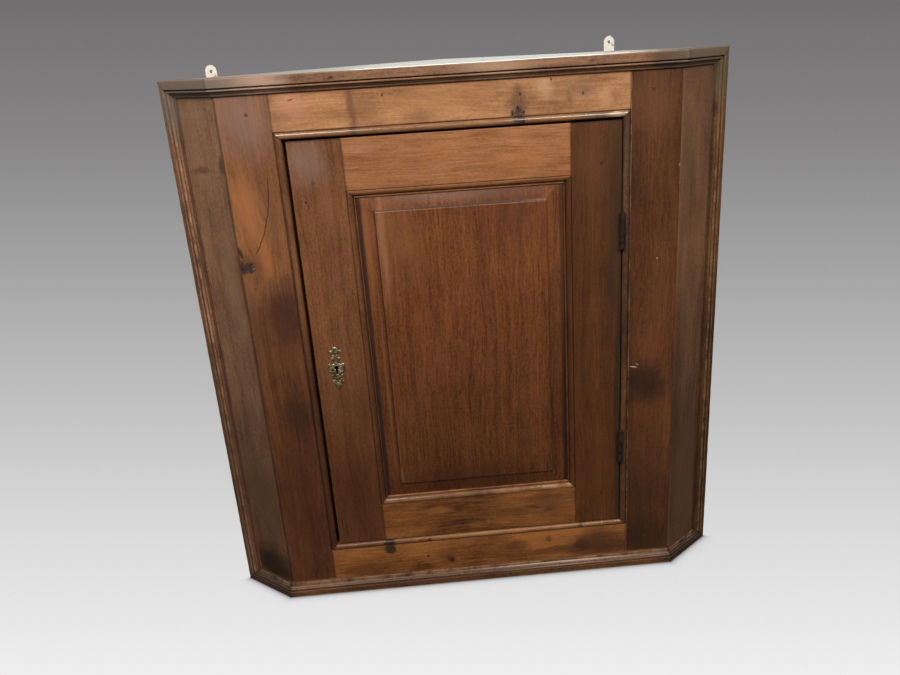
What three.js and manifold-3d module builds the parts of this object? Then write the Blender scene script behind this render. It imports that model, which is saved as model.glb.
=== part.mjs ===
// A corner cupboard in oak, with canted sides and one panelled door.
// Millimetres: x runs to the right, y runs back into the room's corner and z runs up.
// The pieces are drawn with the face of the front frame at y = 0. The last group moves the origin
// to the middle of the base.

import * as THREE from "three";
import { mergeVertices } from "three/addons/utils/BufferGeometryUtils.js";
import Module from "manifold-3d";

const wasm = await Module();
wasm.setup();

// Driving sizes
const caseWidth = 760; // wall to wall, over the mouldings
const caseHeight = 775;
const sideSpread = 79; // how much each canted side adds to the width
const fit = 0.3; // clearance between pieces that touch
const overrun = 6; // how far a cut runs past the wood
const cant = THREE.MathUtils.degToRad(40); // turn of each side
const wall = Math.PI / 4; // each wall of a square room corner, seen from the front

const frame = { thick: 20, stile: 68, topRail: 69, bottomRail: 72.5 };
const canted = { thick: 20 };
const moulding = { width: 21.5, proud: 11 };
const bead = { width: 10, proud: 2.6, quirk: 1.3, quirkDepth: 0.9 };
const board = { top: 14, bottom: 14, back: 9, gap: 0.6 };
const shelf = { thick: 12, setBack: 30 };
const bearer = { thick: 12, height: 20 };
const post = { size: 24 };
const frameTenon = { length: 42, thick: 7, shoulder: 8 };
const door = { thick: 20, gapLeft: 4.8, gapRight: 1.4, gapTop: 2.8, gapBottom: 1.2 };
const doorFlat = { left: 70.2, right: 68.8, top: 67.6, bottom: 63.3 }; // outer edge to quirk
const sticking = { width: 11, quirk: 1.2, quirkDepth: 1.6, fillet: 2.4, depth: 6.6 };
const groove = { front: 8, width: 6.4, depth: 7 };
const doorTenon = { length: 48, shoulder: 7 };
const panel = { thick: 6, slack: 1, bevelSide: 22, bevelEnd: 18.5, fieldBack: 3.6, step: 1.4 };
const peg = { radius: 2.8 };
const doorStop = { width: 22, thick: 10, lap: 12, inset: 26 };
const hinge = {
  height: 50, barrel: 4, pin: 2.2, clear: 0.6, leafWidth: 17, leaf: 1.5, leafGap: 0.6, tip: 1.2,
  fromTop: 147.2, fromBottom: 130.3,
};
const knuckleCount = 5;
const screw = { head: 2.7, headDepth: 1.4, shank: 1.3, length: 16, point: 2.5 };
const escutcheon = { height: 67, thick: 1.6, fromEdge: 29 };
const pin = { head: 1.5, headRise: 0.9, shank: 0.7, length: 7 };
const keyhole = { bow: 3.2, blade: 3, drop: 9.5 };
const lock = { width: 42, height: 60, ear: 9, depth: 9.5, skin: 1.5, cap: 1.2, belowKey: 26 };
const bolt = { height: 10, length: 31, rise: 7.5, throw: 10, sunk: 0.5 };
const strike = { height: 34, depth: 9, thick: 1.2 };
const plate = { width: 17, thick: 1.8, below: 40, hole: 2.5, riseLeft: 15.5, riseRight: 21 };

// Places given as shares of the piece that carries them
const backBoardShares = [0, 0.3, 0.6, 1];
const plateShare = { left: 0.753, right: 0.226 };
const pegShares = { frame: { across: 0.7, up: 0.3 }, door: { across: 0.85, up: 0.13 } };
const plateScrewShare = 0.3;
const shelfShares = [0.36, 0.655];
const hingeScrewShares = [-0.34, 0, 0.34];
const strikeScrewShares = [-0.38, 0.38];
const mouldingShares = [[0, 0], [0, 1], [0.48, 1], [0.5, 0.78], [0.54, 0.78]];
const mouldingEndShares = [[0.79, 0.72], [0.82, 0.72], [0.84, 0.84], [0.97, 0.84], [1, 0.74], [1, 0]];
const mouldingBeadShare = { from: 0.54, to: 0.78, foot: 0.78, rise: 0.2 };
const keyShare = 0.4812; // height of the keyhole up the door
const ovoloStartShare = 0.1; // how far the ovolo starts below the face, of its fall
const escutcheonDiscShares = [
  [0, 0.435, 0.06], [0, 0.34, 0.085], [0.09, 0.28, 0.085], [-0.09, 0.28, 0.085], [0, 0.2, 0.075],
  [0, 0.0, 0.185], [0.1, -0.1, 0.06], [-0.1, -0.1, 0.06], [0, -0.21, 0.085],
  [0.075, -0.31, 0.062], [-0.075, -0.31, 0.062], [0, -0.37, 0.06], [0, -0.45, 0.035],
];
const escutcheonHoleShares = [
  [0.1, 0.285, 0.032], [-0.1, 0.285, 0.032], [0.045, -0.29, 0.022], [-0.045, -0.29, 0.022],
];
const escutcheonPinShares = [0.43, -0.385];

// Counts of sides on round pieces
const arcSteps = 7;
const roundSides = 20;
const smallSides = 8;

// Places worked out from the sizes
const half = caseWidth / 2;
const arris = half - sideSpread; // where the sides turn back
const kink = arris + moulding.proud * Math.tan(cant / 2);
const returnDepth = (half - kink) * Math.tan(cant) - moulding.proud;
const wallReach = returnDepth + half * Math.tan(wall); // y of the back corner
const wallSlope = Math.sin(cant) + Math.tan(wall) * Math.cos(cant);
const faceLength = (wallReach - Math.tan(wall) * arris) / wallSlope; // canted face, arris to wall
const faceTilt = (Math.cos(cant) - Math.tan(wall) * Math.sin(cant)) / wallSlope;
const mitreGap = fit / Math.SQRT2;
const opening = {
  half: arris - frame.stile,
  top: caseHeight - frame.topRail,
  bottom: frame.bottomRail,
};
const doorBox = {
  left: -opening.half + bead.width + door.gapLeft,
  right: opening.half - bead.width - door.gapRight,
  top: opening.top - bead.width - door.gapTop,
  bottom: opening.bottom + bead.width + door.gapBottom,
};
const quirk = {
  left: doorBox.left + doorFlat.left,
  right: doorBox.right - doorFlat.right,
  top: doorBox.top - doorFlat.top,
  bottom: doorBox.bottom + doorFlat.bottom,
};
const hingeAxis = { x: doorBox.right + door.gapRight / 2, y: -hinge.barrel - hinge.clear };
const key = {
  x: doorBox.left + escutcheon.fromEdge,
  z: doorBox.bottom + keyShare * (doorBox.top - doorBox.bottom),
};
const lockBox = {
  x: [doorBox.left, doorBox.left + lock.width],
  y: [door.thick - lock.depth, door.thick],
  z: [key.z - lock.belowKey, key.z - lock.belowKey + lock.height],
};
const boltBox = {
  x: [doorBox.left + bolt.sunk, doorBox.left + bolt.sunk + bolt.length],
  y: [lockBox.y[0] + lock.skin + fit, door.thick - lock.cap - 2 * fit],
  z: [key.z + bolt.rise, key.z + bolt.rise + bolt.height],
};
const innerBottom = board.bottom;
const innerTop = caseHeight - board.top;

// Working tools

const mix = (from, to, t) => from + (to - from) * t;
const grown = ([low, high], by) => [low - by, high + by];
const mirrored = ([x, y]) => [-x, y];

function toSolid(geometry) {
  const bare = geometry.clone();
  bare.deleteAttribute("normal");
  bare.deleteAttribute("uv");
  const merged = mergeVertices(bare);
  const at = merged.attributes.position.array;
  const corners = [];
  let volume = 0;
  for (let i = 0; i < merged.index.count; i += 3) {
    const [a, b, c] = [0, 1, 2].map((step) => merged.index.getX(i + step));
    if (a === b || b === c || c === a) continue;
    corners.push(a, b, c);
    const [p, q, r] = [a, b, c].map((n) => new THREE.Vector3().fromArray(at, 3 * n));
    volume += p.dot(q.cross(r));
  }
  if (volume < 0) corners.reverse();
  return new wasm.Manifold(new wasm.Mesh({
    numProp: 3,
    vertProperties: Float32Array.from(at),
    triVerts: Uint32Array.from(corners),
  }));
}

function toGeometry(solid) {
  const mesh = solid.getMesh();
  const geometry = new THREE.BufferGeometry();
  geometry.setAttribute("position", new THREE.BufferAttribute(mesh.vertProperties, 3));
  geometry.setIndex(new THREE.BufferAttribute(mesh.triVerts, 1));
  geometry.computeVertexNormals();
  return geometry;
}

const join = (first, ...others) => toGeometry(
  others.reduce((whole, part) => whole.add(toSolid(part)), toSolid(first)),
);

const cut = (wood, ...tools) => toGeometry(
  tools.reduce((whole, tool) => whole.subtract(toSolid(tool)), toSolid(wood)),
);

function block([x0, x1], [y0, y1], [z0, z1]) {
  const geometry = new THREE.BoxGeometry(x1 - x0, y1 - y0, z1 - z0);
  return geometry.translate((x0 + x1) / 2, (y0 + y1) / 2, (z0 + z1) / 2);
}

// A closed outline carried straight from t = 0 to t = 1. place turns (p, q, t) into x, y, z.
function run(outline, place) {
  const shape = new THREE.Shape(outline.map(([p, q]) => new THREE.Vector2(p, q)));
  const geometry = new THREE.ExtrudeGeometry(shape, { depth: 1, bevelEnabled: false });
  const points = geometry.attributes.position;
  for (let i = 0; i < points.count; i += 1) {
    points.setXYZ(i, ...place(points.getX(i), points.getY(i), points.getZ(i)));
  }
  return geometry;
}

const upright = (outline, [low, high]) => run(outline, (x, y, t) => [x, y, mix(low, high, t)]);

// A profile of [radius, distance] points spun about the line from start along direction.
function turned(profile, sides, start, direction) {
  const points = profile.map(([radius, distance]) => new THREE.Vector2(radius, distance));
  const geometry = new THREE.LatheGeometry(points, sides);
  const toDirection = new THREE.Quaternion();
  toDirection.setFromUnitVectors(new THREE.Vector3(0, 1, 0), new THREE.Vector3(...direction));
  return geometry.applyQuaternion(toDirection).translate(...start);
}

function rod(radius, length, sides, start, direction) {
  return turned([[0, 0], [radius, 0], [radius, length], [0, length]], sides, start, direction);
}

// Flat rings stacked from back to front: each is [x range, y, z range].
function stack(rings) {
  const points = rings.flatMap(
    ([[x0, x1], y, [z0, z1]]) => [x0, y, z0, x1, y, z0, x1, y, z1, x0, y, z1],
  );
  const faces = [0, 1, 2, 0, 2, 3];
  for (let ring = 1; ring < rings.length; ring += 1) {
    for (let corner = 0; corner < 4; corner += 1) {
      const [a, b] = [corner, (corner + 1) % 4].map((n) => n + 4 * (ring - 1));
      faces.push(a, a + 4, b, b, a + 4, b + 4);
    }
  }
  const last = 4 * (rings.length - 1);
  faces.push(last, last + 2, last + 1, last, last + 3, last + 2);
  const geometry = new THREE.BufferGeometry();
  geometry.setAttribute("position", new THREE.Float32BufferAttribute(points, 3));
  geometry.setIndex(faces);
  return geometry;
}

// Fasteners: the piece itself, and the hole that clears it

function fastener(size, start, direction) {
  const profile = [
    [0, 0], [size.head, 0], [size.shank, size.headDepth], [size.shank, size.length - size.point],
    [0, size.length],
  ];
  return turned(profile, smallSides, start, direction);
}

function fastenerHole(size, start, direction) {
  const [head, shank] = [size.head + fit, size.shank + fit];
  const profile = [
    [0, -overrun], [head, -overrun], [head, 0], [shank, size.headDepth], [shank, size.length],
    [0, size.length + fit],
  ];
  return turned(profile, smallSides, start, direction);
}

const asScrew = ({ start, direction }) => fastener(screw, start, direction);
const asScrewHole = ({ start, direction }) => fastenerHole(screw, start, direction);

// Colours

const oak = (colour) => new THREE.MeshStandardMaterial({ color: colour, roughness: 0.42, metalness: 0 });
const pine = (colour) => new THREE.MeshStandardMaterial({ color: colour, roughness: 0.8, metalness: 0 });
const brass = () => new THREE.MeshStandardMaterial({ color: 0x8c7a45, roughness: 0.38, metalness: 1 });
const iron = () => new THREE.MeshStandardMaterial({ color: 0x2b2724, roughness: 0.55, metalness: 1 });
const cream = () => new THREE.MeshStandardMaterial({ color: 0xd9d4bd, roughness: 0.5, metalness: 0 });
const darkOak = 0x5f341d;
const stileOak = 0x6e3d22;
const railOak = 0x8f5a2e;
const panelOak = 0x6d3519;
const cantedOak = 0x5d4530;
const mouldingOak = 0x5e3c26;
const backPine = 0x8b6f4e;
const topPaint = 0x9aa196;

const cupboard = new THREE.Group();
const doorGroup = new THREE.Group();
cupboard.add(doorGroup);

function add(group, name, geometry, material) {
  const mesh = new THREE.Mesh(toGeometry(toSolid(geometry)), material);
  mesh.name = name;
  group.add(mesh);
  return mesh;
}

const sides = [["left", -1], ["right", 1]];

// Plan of the case

// Where lines parallel to the front, a canted side and a wall meet, each moved in by its own
// inset. These are the right-hand points; the left side mirrors them.
function casePlan(front, side, back) {
  const reach = wallReach - back / Math.cos(wall);
  const frontX = arris + (front * Math.cos(cant) - side) / Math.sin(cant);
  const sideX = (arris * Math.sin(cant) + reach * Math.cos(cant) - side) / wallSlope;
  return {
    front: [frontX, front],
    side: [sideX, reach - sideX * Math.tan(wall)],
    back: [0, reach],
  };
}

function boardOutline(front) {
  const plan = casePlan(front, canted.thick + fit, board.back + fit);
  return [mirrored(plan.front), plan.front, plan.side, plan.back, mirrored(plan.side)];
}

// Distance of a plan point from the back corner, measured along its wall
const alongWall = ([x, y]) => Math.abs(x) * Math.cos(wall) + (wallReach - y) * Math.sin(wall);

// Matrices that stand a group on a wall or on a canted face. On both, x runs along the face
// away from the middle on the right-hand side, and -y on a canted face points out of the case.
function wallMatrix(side) {
  return new THREE.Matrix4().makeRotationZ(-side * wall).setPosition(0, wallReach, 0);
}

function cantedMatrix(side) {
  return new THREE.Matrix4().makeRotationZ(side * cant).setPosition(side * arris, 0, 0);
}

function placedGroup(matrix) {
  const group = new THREE.Group();
  group.applyMatrix4(matrix);
  cupboard.add(group);
  return group;
}

const wallGroups = { left: placedGroup(wallMatrix(-1)), right: placedGroup(wallMatrix(1)) };
const cantedGroups = { left: placedGroup(cantedMatrix(-1)), right: placedGroup(cantedMatrix(1)) };

// Pegs that lock the mortise and tenon joints

function pegPlaces([left, right], tenons, share) {
  const heights = { top: mix(...tenons.top, share), bottom: mix(...tenons.bottom, 1 - share) };
  return [["left", left], ["right", right]].flatMap(([sideName, x]) => Object.entries(heights).map(
    ([level, z]) => ({ name: `${level}_${sideName}`, at: [x, 0, z] }),
  ));
}

const pegHole = ([x, y, z], thick) => rod(
  peg.radius + fit, thick + 2 * overrun, smallSides, [x, y - overrun, z], [0, 1, 0],
);

function pegs(group, prefix, places, thick) {
  for (const { name, at } of places) {
    add(group, `${prefix}_${name}`, rod(peg.radius, thick, smallSides, at, [0, 1, 0]), oak(darkOak));
  }
}

// Front frame

const frameTenonY = [(frame.thick - frameTenon.thick) / 2, (frame.thick + frameTenon.thick) / 2];
const frameTenonZ = {
  top: [opening.top + frameTenon.shoulder, caseHeight - frameTenon.shoulder],
  bottom: [frameTenon.shoulder, opening.bottom - frameTenon.shoulder],
};
const framePegX = opening.half + frameTenon.length * pegShares.frame.across;
const framePegs = pegPlaces([-framePegX, framePegX], frameTenonZ, pegShares.frame.up);
const framePegHoles = framePegs.map(({ at }) => pegHole(at, frame.thick));

function frameStile(name, side) {
  const inner = side * opening.half;
  const outline = [
    [inner, 0], [side * arris, 0], [side * (arris - frame.thick * Math.tan(cant / 2)), frame.thick],
    [inner, frame.thick],
  ];
  const reach = side * (opening.half + frameTenon.length + fit);
  const mortiseX = [Math.min(reach, inner), Math.max(reach, inner)];
  const mortises = Object.values(frameTenonZ).map(
    (z) => block(side < 0 ? [mortiseX[0], inner + overrun] : [inner - overrun, mortiseX[1]],
      grown(frameTenonY, fit), grown(z, fit)),
  );
  const screwHoles = side < 0 ? strikeHoles : leafHoles("frame");
  const stile = cut(upright(outline, [0, caseHeight]), ...mortises, ...framePegHoles, ...screwHoles);
  add(cupboard, `frame_stile_${name}`, stile, oak(stileOak));
}

function frameRail(name, z) {
  const shoulder = opening.half - fit;
  const tenonReach = opening.half + frameTenon.length;
  const rail = join(
    block([-shoulder, shoulder], [0, frame.thick], z),
    block([-tenonReach, tenonReach], frameTenonY, frameTenonZ[name]),
  );
  add(cupboard, `frame_${name}_rail`, cut(rail, ...framePegHoles), oak(railOak));
}

// A plain rounded strip planted inside the opening: w runs in from the frame, h runs back.
function beadOutline() {
  const nose = bead.width - bead.quirk;
  const arc = Array.from({ length: arcSteps + 1 }, (_, i) => {
    const turn = Math.PI * (1 - i / arcSteps);
    return [
      bead.quirk + (nose / 2) * (1 + Math.cos(turn)),
      bead.quirkDepth - (bead.proud + bead.quirkDepth) * Math.sin(turn),
    ];
  });
  return [
    [fit, frame.thick], [fit, 0], [bead.quirk, bead.quirkDepth], ...arc.slice(1),
    [bead.width, frame.thick],
  ];
}

const levelBead = (edge, inwards) => run(beadOutline(), (w, h, t) => [
  mix(-1, 1, t) * (opening.half - w - mitreGap), h, edge + inwards * w,
]);

const uprightBead = (side) => run(beadOutline(), (w, h, t) => [
  side * (opening.half - w), h, mix(opening.bottom + w + mitreGap, opening.top - w - mitreGap, t),
]);

// Boards and posts of the case

function cantedBoard(name, side) {
  const alongFace = [fit * Math.cos(cant), fit * Math.sin(cant)];
  const innerX = arris - canted.thick * Math.tan(cant / 2);
  const outline = [
    [arris + alongFace[0], alongFace[1]], casePlan(0, 0, 0).side, casePlan(0, canted.thick, 0).side,
    [innerX + alongFace[0], canted.thick + alongFace[1]],
  ].map(([x, y]) => [side * x, y]);
  add(cupboard, `canted_board_${name}`, upright(outline, [0, caseHeight]), oak(cantedOak));
}

function postOutline(clear) {
  const size = post.size + 2 * clear;
  const corner = wallReach - (board.back + fit - clear) / Math.cos(wall);
  const [across, down] = [size * Math.cos(wall), size * Math.sin(wall)];
  return [[0, corner], [across, corner - down], [0, corner - 2 * down], [-across, corner - down]];
}

// Back boards run from the corner to the canted sides. The left wall covers the right one's end.
const backRun = Math.min(
  alongWall(casePlan(0, canted.thick, 0).side),
  alongWall(casePlan(0, canted.thick, board.back).side),
) - fit;
const boardEdges = (side, index) => {
  const from = Math.max(backRun * backBoardShares[index], side > 0 ? board.back : 0);
  return [from + (index > 0 || side > 0 ? board.gap : 0), backRun * backBoardShares[index + 1]];
};
const boardPoint = (side, index, share) => side * mix(...boardEdges(side, index), share);
const intoCase = [0, -1, 0];

const plateX = { left: boardPoint(-1, 2, plateShare.left), right: boardPoint(1, 2, plateShare.right) };
const plateTop = { left: caseHeight + plate.riseLeft, right: caseHeight + plate.riseRight };
const plateLow = caseHeight - plate.below;
const plateScrew = { ...screw, length: screw.length + board.back };
const plateShortScrew = { ...screw, length: board.back - fit, point: screw.headDepth };
const topEdge = caseHeight - board.top / 2;
const plateScrews = (name) => [
  { size: plateScrew, start: [plateX[name], 0, topEdge] },
  { size: plateShortScrew, start: [plateX[name], 0, mix(plateLow, topEdge, plateScrewShare)] },
];
const plateScrewHoles = (name) => plateScrews(name).map(
  ({ size, start }) => fastenerHole(size, start, intoCase),
);

function hangingPlate(name, clear) {
  const reach = plate.width / 2 + clear;
  const centre = plateTop[name] - plate.width / 2;
  const depth = [-plate.thick - clear, clear];
  return join(
    block([plateX[name] - reach, plateX[name] + reach], depth, [plateLow - clear, centre]),
    rod(reach, depth[1] - depth[0], roundSides, [plateX[name], depth[0], centre], [0, 1, 0]),
  );
}

function hangingPlateMesh(name) {
  const hole = [plateX[name], -overrun, plateTop[name] - plate.width / 2];
  const pierced = cut(hangingPlate(name, 0), rod(plate.hole, 2 * overrun, roundSides, hole, [0, 1, 0]));
  const screws = plateScrews(name).map(({ size, start }) => fastener(size, start, intoCase));
  add(wallGroups[name], `hanging_plate_${name}`, join(pierced, ...screws), cream());
}

function backBoards(name, side) {
  for (let index = 0; index + 1 < backBoardShares.length; index += 1) {
    const x = boardEdges(side, index).map((edge) => side * edge).sort((a, b) => a - b);
    const holes = index === 2 ? [hangingPlate(name, fit), ...plateScrewHoles(name)] : [];
    const wood = cut(block(x, [-board.back, 0], [0, caseHeight]), ...holes);
    add(wallGroups[name], `back_board_${name}_${index + 1}`, wood, pine(backPine));
  }
}

function topAndBottom() {
  const outline = boardOutline(frame.thick + fit);
  const holes = sides.flatMap(([name, side]) => plateScrewHoles(name).map(
    (hole) => hole.applyMatrix4(wallMatrix(side)),
  ));
  add(cupboard, "bottom_board", upright(outline, [0, board.bottom]), pine(backPine));
  add(cupboard, "top_board", cut(upright(outline, [innerTop, caseHeight]), ...holes), pine(topPaint));
}

const shelfTops = shelfShares.map((share) => mix(innerBottom, innerTop, share));

function shelves() {
  ["shelf_lower", "shelf_upper"].forEach((name, index) => {
    const z = [shelfTops[index] - shelf.thick, shelfTops[index]];
    const wood = cut(
      upright(boardOutline(frame.thick + shelf.setBack), z),
      upright(postOutline(fit), grown(z, overrun)),
    );
    add(cupboard, name, wood, pine(backPine));
  });
}

function shelfBearers(name, side) {
  const back = board.back + fit;
  const start = board.back + post.size + 2 * fit;
  const end = Math.min(
    alongWall(casePlan(0, canted.thick, back).side),
    alongWall(casePlan(0, canted.thick, back + bearer.thick).side),
  ) - fit;
  const x = [side * start, side * end].sort((a, b) => a - b);
  ["lower", "upper"].forEach((level, index) => {
    const top = shelfTops[index] - shelf.thick - fit;
    const batten = block(x, [-back - bearer.thick, -back], [top - bearer.height, top]);
    add(wallGroups[name], `shelf_bearer_${level}_${name}`, batten, pine(backPine));
  });
}

// Mouldings planted round the face: w runs in from the outer edge, h stands out of the face.
function mouldingOutline() {
  const { from, to, foot, rise } = mouldingBeadShare;
  const arc = Array.from({ length: arcSteps + 1 }, (_, i) => {
    const turn = Math.PI * (1 - i / arcSteps);
    return [mix(from, to, (1 + Math.cos(turn)) / 2), foot + rise * Math.sin(turn)];
  });
  const shares = [...mouldingShares, ...arc.slice(1), ...mouldingEndShares];
  return shares.map(([w, h]) => [w * moulding.width, mix(fit, moulding.proud, h)]);
}

function frontMoulding(edge, inwards) {
  return run(mouldingOutline(), (w, h, t) => [
    mix(-1, 1, t) * (arris + h * Math.tan(cant / 2) - fit / 2), -h, edge + inwards * w,
  ]);
}

function returnMoulding(side, edge, inwards) {
  return run(mouldingOutline(), (w, h, t) => [
    side * mix(fit / 2 - h * Math.tan(cant / 2), faceLength + faceTilt * h - w - mitreGap, t),
    -h, edge + inwards * w,
  ]);
}

function sideMoulding(side) {
  return run(mouldingOutline(), (w, h, t) => [
    side * (faceLength + faceTilt * h - w), -h, mix(w + mitreGap, caseHeight - w - mitreGap, t),
  ]);
}

// Door

// A stile or rail of the door. w runs in from the outer edge and h back from the face; the
// inner edge carries a quirked ovolo and the groove for the panel.
function doorOutline(flat) {
  const inner = flat + sticking.width;
  const arc = Array.from({ length: arcSteps + 1 }, (_, i) => {
    const turn = (Math.PI / 2) * (i / arcSteps);
    const fall = sticking.depth * (1 - ovoloStartShare);
    return [
      mix(flat + sticking.quirk, inner - sticking.fillet, Math.sin(turn)),
      sticking.depth * ovoloStartShare + fall * (1 - Math.cos(turn)) * (1 - ovoloStartShare),
    ];
  });
  return [
    [0, 0], [flat, 0], [flat + sticking.quirk / 2, sticking.quirkDepth], ...arc,
    [inner - sticking.fillet, sticking.depth], [inner, sticking.depth],
    [inner, groove.front], [inner - groove.depth, groove.front],
    [inner - groove.depth, groove.front + groove.width], [inner, groove.front + groove.width],
    [inner, door.thick], [0, door.thick],
  ];
}

// Each corner's moulding is mitred, and the wood beyond the mitre is cut back to the quirk.
function doorMember(flat, [from, to], [quirkFrom, quirkTo], place) {
  const reach = sticking.width + overrun;
  const wood = run(doorOutline(flat), (w, h, t) => place(w, h, mix(from, to, t)));
  const cutters = [[quirkFrom, 1, from], [quirkTo, -1, to]].map(([start, way, end]) => {
    const mitre = start + way * mitreGap;
    const outline = [
      [flat, mitre], [flat + reach, mitre + way * reach], [flat + reach, end - way * overrun],
      [flat, end - way * overrun],
    ];
    return run(outline, (w, a, t) => place(w, mix(-overrun, door.thick + overrun, t), a));
  });
  return cut(wood, ...cutters);
}

const doorTenonY = [groove.front, groove.front + groove.width];
const doorTenonZ = {
  top: [quirk.top + doorTenon.shoulder, doorBox.top - doorTenon.shoulder],
  bottom: [doorBox.bottom + doorTenon.shoulder, quirk.bottom - doorTenon.shoulder],
};
const doorPegReach = doorTenon.length * pegShares.door.across;
const doorPegX = [quirk.left - doorPegReach, quirk.right + doorPegReach];
const doorPegs = pegPlaces(doorPegX, doorTenonZ, pegShares.door.up);
const doorPegHoles = doorPegs.map(({ at }) => pegHole(at, door.thick));

function keyholeCut([front, back]) {
  const drop = [key.z - keyhole.drop, key.z];
  return join(
    rod(keyhole.bow, back - front, smallSides, [key.x, front, key.z], [0, 1, 0]),
    block([key.x - keyhole.blade / 2, key.x + keyhole.blade / 2], [front, back], drop),
  );
}

function doorStile(name, side) {
  const outer = doorBox[name];
  const length = [doorBox.bottom, doorBox.top];
  const stile = doorMember(
    doorFlat[name], length, [quirk.bottom, quirk.top], (w, h, a) => [outer - side * w, h, a],
  );
  const deep = quirk[name] + side * (doorTenon.length + fit);
  const mortiseX = [deep, quirk[name] - side * overrun].sort((a, b) => a - b);
  const mortises = Object.values(doorTenonZ).map(
    (z) => block(mortiseX, grown(doorTenonY, fit), grown(z, fit)),
  );
  const fittings = side < 0 ? lockCuts() : hingeCuts("door");
  const wood = cut(stile, ...mortises, ...doorPegHoles, ...fittings);
  add(doorGroup, `door_stile_${name}`, wood, oak(stileOak));
}

function doorRail(name, way) {
  const outer = doorBox[name];
  const shoulders = [quirk.left + fit, quirk.right - fit];
  const rail = doorMember(
    doorFlat[name], shoulders, [quirk.left, quirk.right], (w, h, a) => [a, h, outer - way * w],
  );
  const tenonX = grown([quirk.left, quirk.right], doorTenon.length);
  const tenon = block(tenonX, doorTenonY, doorTenonZ[name]);
  const wood = cut(join(rail, tenon), ...doorPegHoles);
  add(doorGroup, `door_${name}_rail`, wood, oak(railOak));
}

// Raised and fielded panel, with its thin edge in the groove
function doorPanel() {
  const inset = (by) => [[quirk.left + by, quirk.right - by], [quirk.bottom + by, quirk.top - by]];
  const edge = inset(sticking.width - groove.depth + panel.slack);
  const mouth = inset(sticking.width + panel.slack);
  const field = [
    grown([quirk.left, quirk.right], -sticking.width - panel.bevelSide),
    grown([quirk.bottom, quirk.top], -sticking.width - panel.bevelEnd),
  ];
  const front = groove.front + (groove.width - panel.thick) / 2;
  const back = front + panel.thick;
  const rings = [
    [edge[0], back, edge[1]], [edge[0], front, edge[1]], [mouth[0], front, mouth[1]],
    [field[0], panel.fieldBack + panel.step, field[1]], [field[0], panel.fieldBack, field[1]],
  ];
  add(doorGroup, "door_panel", stack(rings), oak(panelOak));
}

// Hinges: two iron butts with five knuckles each

const barrelLine = (z) => [hingeAxis.x, hingeAxis.y, z];
const upwards = [0, 0, 1];
const hingePlaces = [
  ["upper", doorBox.top - hinge.fromTop], ["lower", doorBox.bottom + hinge.fromBottom],
];

const knuckleRange = (middle, index) => {
  const step = hinge.height / knuckleCount;
  const low = middle - hinge.height / 2 + index * step;
  return [low + fit / 2, low + step - fit / 2];
};

function leafScrews(owner, middle) {
  const side = owner === "frame" ? 1 : -1;
  const x = hingeAxis.x + side * hinge.leafGap / 2;
  const y = (hinge.leafWidth + hingeAxis.y + hinge.barrel) / 2;
  return hingeScrewShares.map(
    (share) => ({ start: [x, y, middle + share * hinge.height], direction: [side, 0, 0] }),
  );
}

const leafHoles = (owner) => hingePlaces.flatMap(
  ([, middle]) => leafScrews(owner, middle).map(asScrewHole),
);

const hingeHeight = (middle) => [middle - hinge.height / 2, middle + hinge.height / 2];

// The leaf, or with clear above zero the recess that it lies in
function leafBox(owner, middle, clear) {
  const side = owner === "frame" ? 1 : -1;
  const near = hingeAxis.x + side * (clear > 0 ? -hinge.leafGap : hinge.leafGap / 2);
  const far = hingeAxis.x + side * (hinge.leafGap / 2 + hinge.leaf + clear);
  const front = hingeAxis.y + (clear > 0 ? -hinge.barrel : (hinge.pin + hinge.barrel) / 2);
  return block(
    [near, far].sort((a, b) => a - b), [front, hinge.leafWidth + clear],
    grown(hingeHeight(middle), clear),
  );
}

// The frame's leaf carries the even knuckles and the door's leaf the odd ones.
function hingeLeaf(owner, name, middle) {
  const own = (index) => (index % 2 === 0) === (owner === "frame");
  const indices = Array.from({ length: knuckleCount }, (_, index) => index);
  const column = (index, radius, clear) => {
    const [low, high] = grown(knuckleRange(middle, index), clear);
    return rod(radius, high - low, roundSides, barrelLine(low), upwards);
  };
  const knuckles = indices.filter(own).map((index) => column(index, hinge.barrel, 0));
  const slots = indices.filter((index) => !own(index)).map(
    (index) => column(index, hinge.barrel + hinge.clear, fit),
  );
  const plain = cut(leafBox(owner, middle, 0), ...slots);
  const bore = rod(
    hinge.pin + fit, hinge.height + 2 * overrun, roundSides,
    barrelLine(middle - hinge.height / 2 - overrun), upwards,
  );
  const leaf = cut(join(plain, ...knuckles), bore);
  const screws = leafScrews(owner, middle).map(asScrew);
  const group = owner === "frame" ? cupboard : doorGroup;
  add(group, `hinge_${owner}_leaf_${name}`, join(leaf, ...screws), iron());
}

// What the hinges take out of the wood beside them
function hingeCuts(owner) {
  const recesses = hingePlaces.map(([, middle]) => leafBox(owner, middle, fit));
  if (owner === "door") return [...recesses, ...leafHoles(owner)];
  const notches = hingePlaces.map(([, middle]) => block(
    [hingeAxis.x, hingeAxis.x + hinge.barrel + hinge.clear],
    [hingeAxis.y - hinge.barrel, hingeAxis.y + hinge.barrel + hinge.clear / 2],
    grown(hingeHeight(middle), hinge.tip + fit),
  ));
  return [...recesses, ...notches, ...leafHoles(owner)];
}

function hingePin(name, middle) {
  const start = barrelLine(middle - hinge.height / 2 - hinge.tip);
  const pinRod = rod(hinge.pin, hinge.height + 2 * hinge.tip, roundSides, start, upwards);
  add(cupboard, `hinge_pin_${name}`, pinRod, iron());
}

// Lock, let into the back of the door's left stile

// The face plate's ears reach past the case, and a screw goes through each.
const lockCaseZ = grown(lockBox.z, -lock.ear);
const lockScrews = grown(lockBox.z, -lock.ear / 2).map((z) => ({
  start: [lockBox.x[0], (lockBox.y[0] + lockBox.y[1]) / 2, z],
  direction: [1, 0, 0],
}));

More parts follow.
